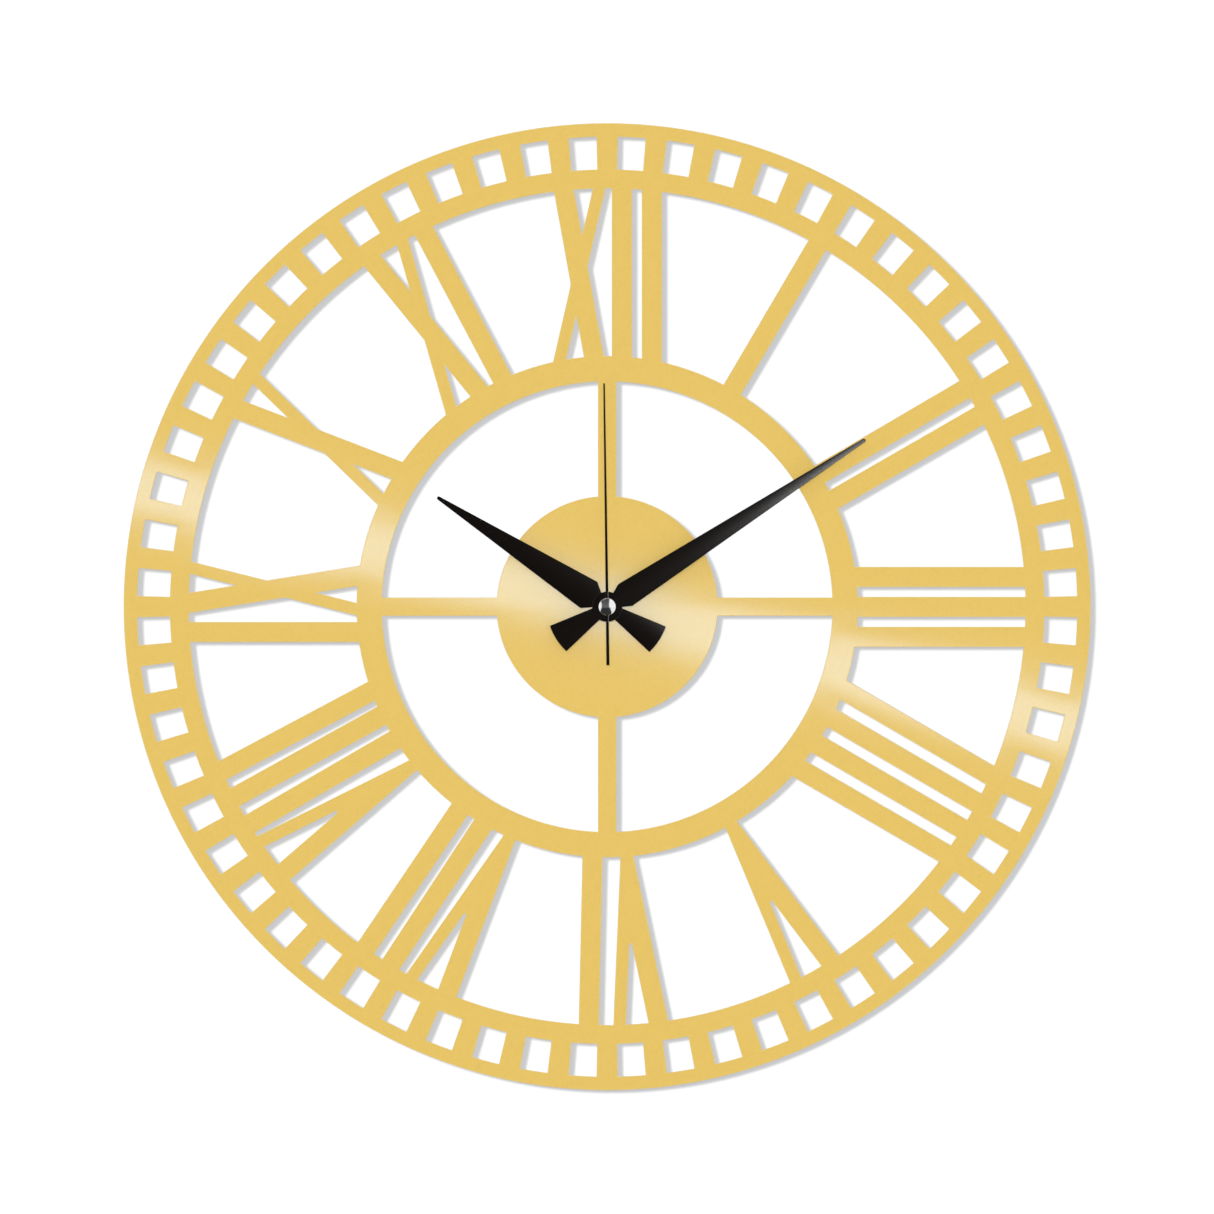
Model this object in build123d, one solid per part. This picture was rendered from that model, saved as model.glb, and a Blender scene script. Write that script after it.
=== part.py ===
from build123d import *
import math
import os

# Millimetres. +Z is up and the clock faces -Y. The origin is on the wall plane, where the axis
# of the hands meets it. Every depth is counted from the wall towards the viewer.

# Dial plate, one cut-out steel sheet
DIAL_RADIUS = 250.0
DIAL_SHEET = 1.5
RIM_WIDTH = 7.0
WINDOW_DEPTH = 16.9
CHAPTER_WIDTH = 9.8
NUMERAL_HEIGHT = 86.7
INNER_RING_WIDTH = 13.1
DISC_RADIUS = 57.2
SPOKE_WIDTH = 9.5
SPOKES = 4
MINUTES = 60
MINUTE_BAR_DEG = 2.6
THICK_STROKE = 10.4
THIN_STROKE = 6.5
V_FOOT_WIDTH = 6.9
V_TOP_WIDTH = 28.8
V_NOTCH_ROUND = 0.7
X_FOOT_SPREAD = 17.1
X_TOP_SPREAD = 18.5
# Each numeral, letter by letter in reading order: where the letter's middle line meets the inner
# ring and the chapter ring, sideways from the hour's own radius
NUMERALS = {
    1: [("I", -0.1, 0.6)],
    2: [("I", -4.3, -4.9), ("I", 10.6, 10.7)],
    3: [("I", -15.4, -15.4), ("I", 0.1, 0.1), ("I", 15.6, 15.6)],
    4: [("I", -23.8, -23.6), ("I", -8.2, -7.9), ("I", 7.3, 7.6), ("I", 22.9, 23.2)],
    5: [("V", 0.8, 1.0)],
    6: [("V", -10.3, -17.6), ("I", 7.6, 9.5)],
    7: [("V", -16.1, -19.4), ("I", -0.7, 4.4), ("I", 13.7, 19.8)],
    8: [("V", -20.9, -26.7), ("I", -4.7, -4.9), ("I", 9.5, 11.0), ("I", 23.2, 26.2)],
    9: [("I", -13.1, -13.1), ("X", 7.3, 11.2)],
    10: [("X", -1.9, 2.2)],
    11: [("X", -10.3, -6.6), ("I", 11.9, 15.1)],
    12: [("X", -15.5, -13.4), ("I", 7.6, 7.6), ("I", 23.1, 23.1)],
}

# Hands, flat black sheet on collars; the time shown is that of the photo
HAND_SHEET = 0.8
HAND_HUB_RADIUS = 7.8
HAND_TIP_RADIUS = 0.95
HAND_NECK_HALF = 4.2
HAND_NECK_END = 6.2
HAND_SHOULDER_AT = 11.2
HAND_SHOULDER_ROUND = 1.5
TAIL_ROOT_HALF = 3.6
TAIL_ROOT_AT = 7.4
TAIL_END_HALF = 7.85
HAND_COLLAR_LENGTH = 0.8
HOUR_LENGTH = 104.5
HOUR_SHOULDER_HALF = 8.1
HOUR_TAIL = 32.0
HOUR_ANGLE = 302.8
HOUR_COLLAR_RADIUS = 4.4
MINUTE_LENGTH = 159.0
MINUTE_SHOULDER_HALF = 6.7
MINUTE_TAIL = 31.2
MINUTE_ANGLE = 57.05
MINUTE_COLLAR_RADIUS = 3.6
SECOND_SHEET = 0.5
SECOND_LENGTH = 115.5
SECOND_TAIL = 30.2
SECOND_TIP_WIDTH = 0.8
SECOND_TAIL_WIDTH = 1.6
SECOND_HUB_RADIUS = 3.2
SECOND_COLLET_RADIUS = 1.2
SECOND_ANGLE = 359.2
CAP_RADIUS = 4.45
CAP_HEIGHT = 2.6
CAP_SIDE = 0.9

# Movement case, moulded black plastic, square and as wide as the cell with its contacts needs
CONTACT_ROOM = 1.45
CASE_DEPTH = 17.0
CASE_WALL = 1.3
CASE_CORNER = 2.5
COVER_SHEET = 1.5
BAY_DIVIDER = 1.0
LEDGE_WIDTH = 5.0
LEDGE_REACH = 1.5
LEDGE_DEPTH = 1.9
LUG_WIDTH = 6.0
LUG_REACH = 0.7
LUG_DEPTH = 0.8
LUG_AT = (5.0, 20.0)
BOSS_RADIUS = 1.3
BOSS_HEIGHT = 0.6
PIVOT_DEPTH = 1.3
HANGER_WIDTH = 17.0
HANGER_RISE = 12.0
HANGER_SHEET = 2.5
HANGER_HOLE_RADIUS = 4.2
HANGER_HOLE_RISE = 4.0
HANGER_SLOT_RADIUS = 2.0
HANGER_SLOT_RISE = 9.0

# Clamp of the dial
SEAL_THICK = 1.0
SEAL_RADIUS = 8.0
WASHER_THICK = 0.5
WASHER_RADIUS = 7.0
NUT_THICK = 2.3
NUT_ACROSS_FLATS = 11.0
BUSH_RADIUS = 3.95
BUSH_PROUD = 1.0
BUSH_FLANGE_RADIUS = 5.5
BUSH_FLANGE_THICK = 1.1

# Clearances
RUNNING = 0.05
FIT_GAP = 0.1
END_PLAY = 0.3

# Wheels
GEAR_THICK = 1.2
LEVEL_START = 2.4
LEVEL_STEP = 2.0
ADDENDUM = 0.62
DEDENDUM = 1.0
TIP_SHARE = 0.22
ROOT_SHARE = 0.52
ARBOR_RADIUS = 0.5
WHEEL_HUB_RADIUS = 0.75
HOUR_TUBE_RADIUS = 2.6
MINUTE_TUBE_RADIUS = 1.75
CANNON_SLEEVE_RADIUS = 1.2
CENTRE_HUB_RADIUS = 2.4
HOUR_HUB_RADIUS = 3.4
TUBE_PROUD = 0.2
THIRD_DISTANCE = 9.5
THIRD_DEG = 100.0
FIFTH_MODULE = 0.42
FIFTH_DEG = 180.0
ROTOR_MODULE = 0.25
MOTION_DISTANCE = 8.4
MOTION_DEG = 0.0
MOTION_STUD_RADIUS = 1.0
SETTING_DEG = 10.0
SECONDS_PINION_TEETH = 8
SECONDS_GEAR_TEETH = 40
THIRD_GEAR_TEETH = 60
THIRD_PINION_TEETH = 8
CENTRE_GEAR_TEETH = 64
FIFTH_PINION_TEETH = 8
FIFTH_GEAR_TEETH = 48
ROTOR_PINION_TEETH = 8
CANNON_PINION_TEETH = 12
MOTION_GEAR_TEETH = 36
MOTION_PINION_TEETH = 10
HOUR_GEAR_TEETH = 40
SETTING_PINION_TEETH = 12
KNOB_RADIUS = 4.5
KNOB_THICK = 2.9
KNOB_SUNK = 0.4
KNOB_GRIPS = 16
KNOB_GRIP_RADIUS = 0.45
KNOB_SHAFT_RADIUS = 1.5
WELL_GAP = 0.7
WELL_WALL = 1.0

# Motor and electronics
MAGNET_RADIUS = 2.9
MAGNET_LENGTH = 2.4
STATOR_GAP = 0.4
STATOR_RING = 1.9
STATOR_THICK = 1.2
COIL_LENGTH = 16.0
COIL_DEPTH = 11.2
COIL_RADIUS = 3.2
BOBBIN_RADIUS = 2.0
BOBBIN_FLANGE_RADIUS = 3.6
BOBBIN_FLANGE = 0.8
CORE_WIDTH = 2.4
CORE_THICK = 1.2
CORE_LENGTH = 24.0
CORE_PAD = 3.4
CORE_RISE = 1.3
BOARD_WIDTH = 20.5
BOARD_HEIGHT = 8.1
BOARD_SIDE_GAP = 1.7
BOARD_TOP_GAP = 1.1
BOARD_THICK = 1.2
BOARD_DEPTH = 4.0
BOARD_PIN_RADIUS = 0.6
BOARD_POST_RADIUS = 1.3
BOARD_POSTS_IN = (7.0, 16.0)
BOARD_POST_RISE = 1.9
CRYSTAL_RADIUS = 1.0
CRYSTAL_LENGTH = 6.0
CRYSTAL_IN = 9.7
CRYSTAL_RISE = 6.1
CHIP_RADIUS = 2.2
CHIP_HEIGHT = 0.9
CHIP_IN = 6.8
CHIP_RISE = 5.3

# Battery, AA size, and its contacts
CELL_RADIUS = 7.1
CELL_LENGTH = 50.5
CELL_NUB_RADIUS = 2.6
CELL_NUB_LENGTH = 1.2
CELL_ROUND = 0.6
CONTACT_SHEET = 0.4
CONTACT_HALF = 4.0
STRIP_WIDTH = 1.6
TAB_LENGTH = 4.0
DIMPLE_RADIUS = 2.0

# Depths worked out from the sizes above
dial_back = CASE_DEPTH + SEAL_THICK
dial_front = dial_back + DIAL_SHEET
washer_front = dial_front + WASHER_THICK
nut_front = washer_front + NUT_THICK
bush_front = nut_front + BUSH_PROUD
wall_inside = CASE_DEPTH - CASE_WALL
flange_back = wall_inside - BUSH_FLANGE_THICK
hour_collar_back = bush_front + END_PLAY
hour_hand_back = hour_collar_back + HAND_COLLAR_LENGTH
hour_hand_front = hour_hand_back + HAND_SHEET
hour_tube_front = hour_hand_front + TUBE_PROUD
minute_collar_back = hour_tube_front + END_PLAY
minute_hand_back = minute_collar_back + HAND_COLLAR_LENGTH
minute_hand_front = minute_hand_back + HAND_SHEET
minute_tube_front = minute_hand_front + TUBE_PROUD
collet_back = minute_tube_front + END_PLAY
second_hand_back = collet_back + HAND_COLLAR_LENGTH
second_hand_front = second_hand_back + SECOND_SHEET
collet_front = second_hand_front + CAP_HEIGHT / 3
pivot_back = COVER_SHEET - PIVOT_DEPTH / 2
pivot_front = wall_inside + PIVOT_DEPTH / 2 - FIT_GAP
fifth_level, seconds_level, third_level, centre_level, cannon_level, hour_level = (
    LEVEL_START + LEVEL_STEP * n for n in range(6)
)

# Across the case: the bay takes the cell, the coil stands beside the wall and above the bay
case_half = CELL_LENGTH / 2 + CONTACT_ROOM + CASE_WALL
case_inside = case_half - CASE_WALL
cell_depth = wall_inside - CELL_RADIUS - FIT_GAP
cell_up = -case_inside + CELL_RADIUS + FIT_GAP
divider_low = cell_up + CELL_RADIUS + FIT_GAP
divider_high = divider_low + BAY_DIVIDER
strip_outside = case_inside - FIT_GAP
strip_inside = strip_outside - CONTACT_SHEET
coil_x = -case_inside + BOBBIN_FLANGE_RADIUS + END_PLAY
ring_radius = MAGNET_RADIUS + STATOR_GAP + STATOR_RING
rotor_x = coil_x + BOBBIN_FLANGE_RADIUS + STATOR_GAP + ring_radius


# Solids from flat outlines and turned shapes
def sheet(outline, near, far):
    """The outline, drawn as seen from the front, from one depth to another."""
    return extrude(Plane.XZ.offset(near) * outline, far - near, dir=(0, -1, 0))


def at(point, outline):
    return Pos(point[0], point[1]) * outline


def disc(radius, near, far, point=(0, 0), hole=0):
    outline = Circle(radius) - Circle(hole) if hole else Circle(radius)
    return sheet(at(point, outline), near, far)


def block(left, right, low, high, near, far):
    middle = ((left + right) / 2, (low + high) / 2)
    return sheet(at(middle, Rectangle(right - left, high - low)), near, far)


def corners(*points):
    """A flat outline with straight sides, always facing the viewer."""
    turn = sum(a[0] * b[1] - b[0] * a[1] for a, b in zip(points, points[1:] + points[:1]))
    return Polygon(*(points if turn > 0 else points[::-1]), align=None)


def polar(distance, degrees, start=(0, 0)):
    turn = math.radians(degrees)
    return start[0] + distance * math.cos(turn), start[1] + distance * math.sin(turn)


def clockwise(degrees, outline):
    return Rot(0, 0, -degrees) * outline


# Dial plate
window_top = DIAL_RADIUS - RIM_WIDTH
window_foot = window_top - WINDOW_DEPTH
numeral_top = window_foot - CHAPTER_WIDTH
numeral_foot = numeral_top - NUMERAL_HEIGHT
inner_ring_inside = numeral_foot - INNER_RING_WIDTH
chapter_middle = (window_foot + numeral_top) / 2
inner_ring_middle = (numeral_foot + inner_ring_inside) / 2


def edge_point(foot, top, radius):
    """Where a stroke's edge, given at the foot and the top of the numerals, crosses a circle."""
    lean = (top - foot) / NUMERAL_HEIGHT
    start = foot - lean * numeral_foot
    inside = lean**2 * start**2 - (1 + lean**2) * (start**2 - radius**2)
    up = (math.sqrt(inside) - lean * start) / (1 + lean**2)
    return start + lean * up, up


def stroke(foot, top, width):
    left = [edge_point(foot - width / 2, top - width / 2, r) for r in (inner_ring_middle, chapter_middle)]
    right = [edge_point(foot + width / 2, top + width / 2, r) for r in (chapter_middle, inner_ring_middle)]
    return corners(*left, *right)


def letter_v(foot, top):
    left = foot - V_FOOT_WIDTH / 2, top - V_TOP_WIDTH / 2
    right = foot + V_FOOT_WIDTH / 2, top + V_TOP_WIDTH / 2
    notch_left = left[0] + THICK_STROKE, left[1] + THICK_STROKE
    notch_right = right[0] - THIN_STROKE, right[1] - THIN_STROKE
    foot_gap = notch_right[0] - notch_left[0]
    top_gap = notch_right[1] - notch_left[1]
    share = foot_gap / (foot_gap - top_gap)
    notch = (
        notch_left[0] + share * (notch_left[1] - notch_left[0]),
        numeral_foot + share * NUMERAL_HEIGHT,
    )
    outline = corners(
        edge_point(*left, inner_ring_middle),
        edge_point(*left, chapter_middle),
        edge_point(*notch_left, chapter_middle),
        notch,
        edge_point(*notch_right, chapter_middle),
        edge_point(*right, chapter_middle),
        edge_point(*right, inner_ring_middle),
    )
    return fillet(outline.vertices().sort_by_distance(notch)[0], V_NOTCH_ROUND)


def letter(kind, foot, top):
    if kind == "V":
        return [letter_v(foot, top)]
    if kind == "X":
        return [
            stroke(foot + X_FOOT_SPREAD / 2, top - X_TOP_SPREAD / 2, THICK_STROKE),
            stroke(foot - X_FOOT_SPREAD / 2, top + X_TOP_SPREAD / 2, THIN_STROKE),
        ]
    return [stroke(foot, top, THICK_STROKE)]


window_half = math.radians(360 / MINUTES - MINUTE_BAR_DEG) / 2
window_side = math.sin(window_half), math.cos(window_half)
window = make_face(
    [
        ThreePointArc(
            (-window_top * window_side[0], window_top * window_side[1]),
            (0, window_top),
            (window_top * window_side[0], window_top * window_side[1]),
        ),
        Line(
            (window_top * window_side[0], window_top * window_side[1]),
            (window_foot * window_side[0], window_foot * window_side[1]),
        ),
        ThreePointArc(
            (window_foot * window_side[0], window_foot * window_side[1]),
            (0, window_foot),
            (-window_foot * window_side[0], window_foot * window_side[1]),
        ),
        Line(
            (-window_foot * window_side[0], window_foot * window_side[1]),
            (-window_top * window_side[0], window_top * window_side[1]),
        ),
    ]
)
minute_step = 360 / MINUTES
rim = Circle(DIAL_RADIUS) - Circle(numeral_top)
rim -= [clockwise(minute_step * (n + 0.5), window) for n in range(MINUTES)]
inner_ring = Circle(numeral_foot) - Circle(inner_ring_inside)
spokes = [
    clockwise(360 / SPOKES * n, at((0, inner_ring_middle / 2), Rectangle(SPOKE_WIDTH, inner_ring_middle)))
    for n in range(SPOKES)
]
letters = [
    clockwise(360 / len(NUMERALS) * hour, outline)
    for hour, parts in NUMERALS.items()
    for kind, foot, top in parts
    for outline in letter(kind, foot, top)
]
dial_outline = rim + [inner_ring, Circle(DISC_RADIUS), *spokes, *letters]
dial_plate = sheet(dial_outline - Circle(BUSH_RADIUS + FIT_GAP), dial_back, dial_front)


# Hands
def pointed_hand(length, shoulder, tail):
    blade = corners(
        (-HAND_NECK_HALF, 0),
        (-HAND_NECK_HALF, HAND_NECK_END),
        (-shoulder, HAND_SHOULDER_AT),
        (-HAND_TIP_RADIUS, length - HAND_TIP_RADIUS),
        (HAND_TIP_RADIUS, length - HAND_TIP_RADIUS),
        (shoulder, HAND_SHOULDER_AT),
        (HAND_NECK_HALF, HAND_NECK_END),
        (HAND_NECK_HALF, 0),
    )
    shoulders = [v for v in blade.vertices() if abs(v.Y - HAND_SHOULDER_AT) < RUNNING]
    blade = fillet(shoulders, HAND_SHOULDER_ROUND)
    tail_side = -math.sqrt(tail**2 - TAIL_END_HALF**2)
    fan = make_face(
        [
            ThreePointArc((-TAIL_END_HALF, tail_side), (0, -tail), (TAIL_END_HALF, tail_side)),
            Line((TAIL_END_HALF, tail_side), (TAIL_ROOT_HALF, -TAIL_ROOT_AT)),
            Line((TAIL_ROOT_HALF, -TAIL_ROOT_AT), (TAIL_ROOT_HALF, 0)),
            Line((TAIL_ROOT_HALF, 0), (-TAIL_ROOT_HALF, 0)),
            Line((-TAIL_ROOT_HALF, 0), (-TAIL_ROOT_HALF, -TAIL_ROOT_AT)),
            Line((-TAIL_ROOT_HALF, -TAIL_ROOT_AT), (-TAIL_END_HALF, tail_side)),
        ]
    )
    tip = at((0, length - HAND_TIP_RADIUS), Circle(HAND_TIP_RADIUS))
    return blade + [fan, tip, Circle(HAND_HUB_RADIUS)]


def second_hand_outline():
    strip = corners(
        (-SECOND_TAIL_WIDTH / 2, -SECOND_TAIL),
        (-SECOND_TIP_WIDTH / 2, SECOND_LENGTH),
        (SECOND_TIP_WIDTH / 2, SECOND_LENGTH),
        (SECOND_TAIL_WIDTH / 2, -SECOND_TAIL),
    )
    return strip + Circle(SECOND_HUB_RADIUS)


hour_outline = pointed_hand(HOUR_LENGTH, HOUR_SHOULDER_HALF, HOUR_TAIL) - Circle(HOUR_TUBE_RADIUS)
hour_hand = sheet(clockwise(HOUR_ANGLE, hour_outline), hour_hand_back, hour_hand_front)
hour_bush = disc(HOUR_COLLAR_RADIUS, hour_collar_back, hour_hand_back, hole=HOUR_TUBE_RADIUS)
minute_outline = pointed_hand(MINUTE_LENGTH, MINUTE_SHOULDER_HALF, MINUTE_TAIL)
minute_outline -= Circle(MINUTE_TUBE_RADIUS)
minute_hand = sheet(clockwise(MINUTE_ANGLE, minute_outline), minute_hand_back, minute_hand_front)
minute_bush = disc(
    MINUTE_COLLAR_RADIUS, minute_collar_back, minute_hand_back, hole=MINUTE_TUBE_RADIUS
)
second_outline = second_hand_outline() - Circle(SECOND_COLLET_RADIUS)
second_hand = sheet(clockwise(SECOND_ANGLE, second_outline), second_hand_back, second_hand_front)
second_collet = disc(SECOND_COLLET_RADIUS, collet_back, collet_front, hole=ARBOR_RADIUS)
cap_rise = CAP_HEIGHT - CAP_SIDE
cap_ball = (CAP_RADIUS**2 + cap_rise**2) / (2 * cap_rise)
cap_centre = second_hand_front + CAP_HEIGHT - cap_ball
second_cap = Pos(0, -cap_centre, 0) * Sphere(cap_ball)
second_cap &= disc(CAP_RADIUS, second_hand_front, second_hand_front + CAP_HEIGHT)
second_cap -= disc(SECOND_COLLET_RADIUS, second_hand_front, collet_front)

# Clamp of the dial on the movement
sealing_washer = disc(SEAL_RADIUS, CASE_DEPTH, dial_back, hole=BUSH_RADIUS + FIT_GAP)
flat_washer = disc(WASHER_RADIUS, dial_front, washer_front, hole=BUSH_RADIUS + FIT_GAP)
nut_outline = RegularPolygon(NUT_ACROSS_FLATS / 2, 6, major_radius=False) - Circle(BUSH_RADIUS + RUNNING)
hex_nut = sheet(nut_outline, washer_front, nut_front)
threaded_bush = disc(BUSH_FLANGE_RADIUS, flange_back, wall_inside)
threaded_bush += disc(BUSH_RADIUS, flange_back, bush_front)
threaded_bush -= disc(HOUR_TUBE_RADIUS + RUNNING, flange_back, bush_front)

# Wheel train: where each arbor stands, the modules and how each tooth meets the next wheel
centre = (0.0, 0.0)
seconds_module = 2 * THIRD_DISTANCE / (SECONDS_PINION_TEETH + THIRD_GEAR_TEETH)
centre_module = 2 * THIRD_DISTANCE / (THIRD_PINION_TEETH + CENTRE_GEAR_TEETH)
cannon_module = 2 * MOTION_DISTANCE / (CANNON_PINION_TEETH + MOTION_GEAR_TEETH)
hour_module = 2 * MOTION_DISTANCE / (MOTION_PINION_TEETH + HOUR_GEAR_TEETH)
fifth_distance = FIFTH_MODULE * (FIFTH_PINION_TEETH + SECONDS_GEAR_TEETH) / 2
rotor_distance = ROTOR_MODULE * (ROTOR_PINION_TEETH + FIFTH_GEAR_TEETH) / 2
setting_distance = cannon_module * (SETTING_PINION_TEETH + MOTION_GEAR_TEETH) / 2
third_place = polar(THIRD_DISTANCE, THIRD_DEG)
fifth_place = polar(fifth_distance, FIFTH_DEG)
rotor_deg = math.degrees(math.acos((rotor_x - fifth_place[0]) / rotor_distance))
rotor_place = polar(rotor_distance, rotor_deg, fifth_place)
motion_place = polar(MOTION_DISTANCE, MOTION_DEG)
setting_place = polar(setting_distance, SETTING_DEG, motion_place)


def teeth(count, module, first_deg, point):
    """A toothed outline with straight flanks, one tooth centred on the first direction."""
    pitch = 360 / count
    tip = module * (count / 2 + ADDENDUM)
    root = module * (count / 2 - DEDENDUM)
    points = []
    for n in range(count):
        middle = first_deg + pitch * n
        points.append(polar(root, middle - ROOT_SHARE / 2 * pitch))
        points.append(polar(tip, middle - TIP_SHARE / 2 * pitch))
        points.append(polar(tip, middle + TIP_SHARE / 2 * pitch))
        points.append(polar(root, middle + ROOT_SHARE / 2 * pitch))
    return at(point, corners(*points))


def meshed(direction, driver_teeth, driver_first, teeth_here):
    """The first tooth's direction on a wheel that lies that way from the one it meshes with."""
    share = (direction - driver_first) / (360 / driver_teeth) % 1
    return direction + 180 + 360 / teeth_here * (share - 0.5)


def wheel(outline, level):
    return sheet(outline, level, level + GEAR_THICK)


def arbor(point):
    return disc(ARBOR_RADIUS, pivot_back, pivot_front, point)


motion_first = meshed(MOTION_DEG, CANNON_PINION_TEETH, 0, MOTION_GEAR_TEETH)
setting_first = meshed(SETTING_DEG, MOTION_GEAR_TEETH, motion_first, SETTING_PINION_TEETH)
hour_first = meshed(MOTION_DEG + 180, MOTION_PINION_TEETH, 0, HOUR_GEAR_TEETH)
third_first = meshed(THIRD_DEG, SECONDS_PINION_TEETH, 0, THIRD_GEAR_TEETH)
centre_first = meshed(THIRD_DEG + 180, THIRD_PINION_TEETH, 0, CENTRE_GEAR_TEETH)
fifth_first = meshed(FIFTH_DEG, SECONDS_GEAR_TEETH, 0, FIFTH_PINION_TEETH)
rotor_first = meshed(rotor_deg, FIFTH_GEAR_TEETH, 0, ROTOR_PINION_TEETH)

cannon_pinion = wheel(teeth(CANNON_PINION_TEETH, cannon_module, 0, centre), cannon_level)
cannon_pinion += disc(MINUTE_TUBE_RADIUS, cannon_level, minute_tube_front)
cannon_pinion += disc(CANNON_SLEEVE_RADIUS, centre_level - FIT_GAP, cannon_level)
cannon_pinion -= disc(ARBOR_RADIUS + RUNNING, centre_level - FIT_GAP, minute_tube_front)

hour_wheel = wheel(teeth(HOUR_GEAR_TEETH, hour_module, hour_first, centre), hour_level)
hour_wheel += disc(HOUR_TUBE_RADIUS, hour_level, hour_tube_front)
hour_wheel += disc(HOUR_HUB_RADIUS, hour_level, flange_back - END_PLAY / 2)
hour_wheel -= disc(MINUTE_TUBE_RADIUS + RUNNING, hour_level, hour_tube_front)

motion_wheel = wheel(teeth(MOTION_GEAR_TEETH, cannon_module, motion_first, motion_place), cannon_level)
motion_wheel += wheel(teeth(MOTION_PINION_TEETH, hour_module, 0, motion_place), hour_level)
motion_hub = hour_module * (MOTION_PINION_TEETH / 2 - DEDENDUM)
motion_wheel += disc(motion_hub, cannon_level, wall_inside - END_PLAY, motion_place)
motion_wheel -= disc(MOTION_STUD_RADIUS + RUNNING, cannon_level, wall_inside, motion_place)

centre_wheel = wheel(teeth(CENTRE_GEAR_TEETH, centre_module, centre_first, centre), centre_level)
centre_wheel += disc(CENTRE_HUB_RADIUS, centre_level, cannon_level - END_PLAY)
centre_wheel -= disc(CANNON_SLEEVE_RADIUS + RUNNING, centre_level, cannon_level)

third_wheel = wheel(teeth(THIRD_GEAR_TEETH, seconds_module, third_first, third_place), third_level)
third_wheel += wheel(teeth(THIRD_PINION_TEETH, centre_module, 0, third_place), centre_level)
third_wheel += disc(WHEEL_HUB_RADIUS, third_level, centre_level, third_place) + arbor(third_place)

seconds_wheel = wheel(teeth(SECONDS_GEAR_TEETH, FIFTH_MODULE, 0, centre), seconds_level)
seconds_wheel += wheel(teeth(SECONDS_PINION_TEETH, seconds_module, 0, centre), third_level)
seconds_wheel += disc(WHEEL_HUB_RADIUS, seconds_level, third_level)
seconds_wheel -= disc(ARBOR_RADIUS, seconds_level, centre_level)
seconds_arbor = disc(ARBOR_RADIUS, pivot_back, collet_front)

fifth_wheel = wheel(teeth(FIFTH_GEAR_TEETH, ROTOR_MODULE, 0, fifth_place), fifth_level)
fifth_wheel += wheel(teeth(FIFTH_PINION_TEETH, FIFTH_MODULE, fifth_first, fifth_place), seconds_level)
fifth_wheel += disc(WHEEL_HUB_RADIUS, fifth_level, seconds_level, fifth_place) + arbor(fifth_place)

core_back = COIL_DEPTH - CORE_THICK / 2
core_front = core_back + CORE_THICK
stator_front = core_front + STATOR_THICK
magnet_back = (core_front + stator_front - MAGNET_LENGTH) / 2
rotor_pinion = wheel(teeth(ROTOR_PINION_TEETH, ROTOR_MODULE, rotor_first, rotor_place), fifth_level)
rotor_pinion += arbor(rotor_place)
rotor_magnet = disc(MAGNET_RADIUS, magnet_back, magnet_back + MAGNET_LENGTH, rotor_place, hole=ARBOR_RADIUS)

knob_front = KNOB_SUNK + KNOB_THICK
well_floor = knob_front + END_PLAY
well_radius = KNOB_RADIUS + WELL_GAP
setting_teeth = teeth(SETTING_PINION_TEETH, cannon_module, setting_first, setting_place)
setting_pinion = wheel(setting_teeth, cannon_level)
setting_pinion += disc(KNOB_SHAFT_RADIUS, knob_front, cannon_level, setting_place)
setting_pinion += disc(
    KNOB_SHAFT_RADIUS + WELL_WALL / 2, well_floor + WELL_WALL + END_PLAY, cannon_level, setting_place
)
setting_pinion += disc(ARBOR_RADIUS, cannon_level, pivot_front, setting_place)
setting_pinion += disc(ARBOR_RADIUS, KNOB_SUNK + KNOB_THICK / 2, knob_front, setting_place)
knob_outline = Circle(KNOB_RADIUS) - [
    at(polar(KNOB_RADIUS, 360 / KNOB_GRIPS * n), Circle(KNOB_GRIP_RADIUS)) for n in range(KNOB_GRIPS)
]
setting_knob = sheet(at(setting_place, knob_outline), KNOB_SUNK, knob_front)
setting_knob -= disc(ARBOR_RADIUS, KNOB_SUNK + KNOB_THICK / 2, knob_front, setting_place)

# Motor: rotor between the poles of the stator plate, coil on the core that joins them
core_low = divider_high + CORE_RISE
core_high = core_low + CORE_LENGTH
core_left = coil_x - CORE_WIDTH / 2
core_right = coil_x + CORE_WIDTH / 2
coil_core = block(core_left, core_right, core_low, core_high, core_back, core_front)
leg_bend = coil_x + BOBBIN_FLANGE_RADIUS + STATOR_GAP
leg_upper = corners(
    (core_left, core_high - CORE_PAD),
    (core_left, core_high),
    (leg_bend, core_high),
    (rotor_place[0], rotor_place[1] + ring_radius),
    rotor_place,
    (leg_bend, core_high - CORE_PAD),
)
leg_lower = corners(
    (core_left, core_low),
    (core_left, core_low + CORE_PAD),
    (leg_bend, core_low + CORE_PAD),
    rotor_place,
    (rotor_place[0], rotor_place[1] - ring_radius),
    (leg_bend, core_low),
)
stator_outline = leg_upper + [leg_lower, at(rotor_place, Circle(ring_radius))]
stator_outline -= at(rotor_place, Circle(MAGNET_RADIUS + STATOR_GAP))
stator_plate = sheet(stator_outline, core_front, stator_front)


def spool(radius, low, high):
    """A round body along Z on the coil's own line."""
    return Pos(coil_x, -COIL_DEPTH, low) * extrude(Circle(radius), high - low)


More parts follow.
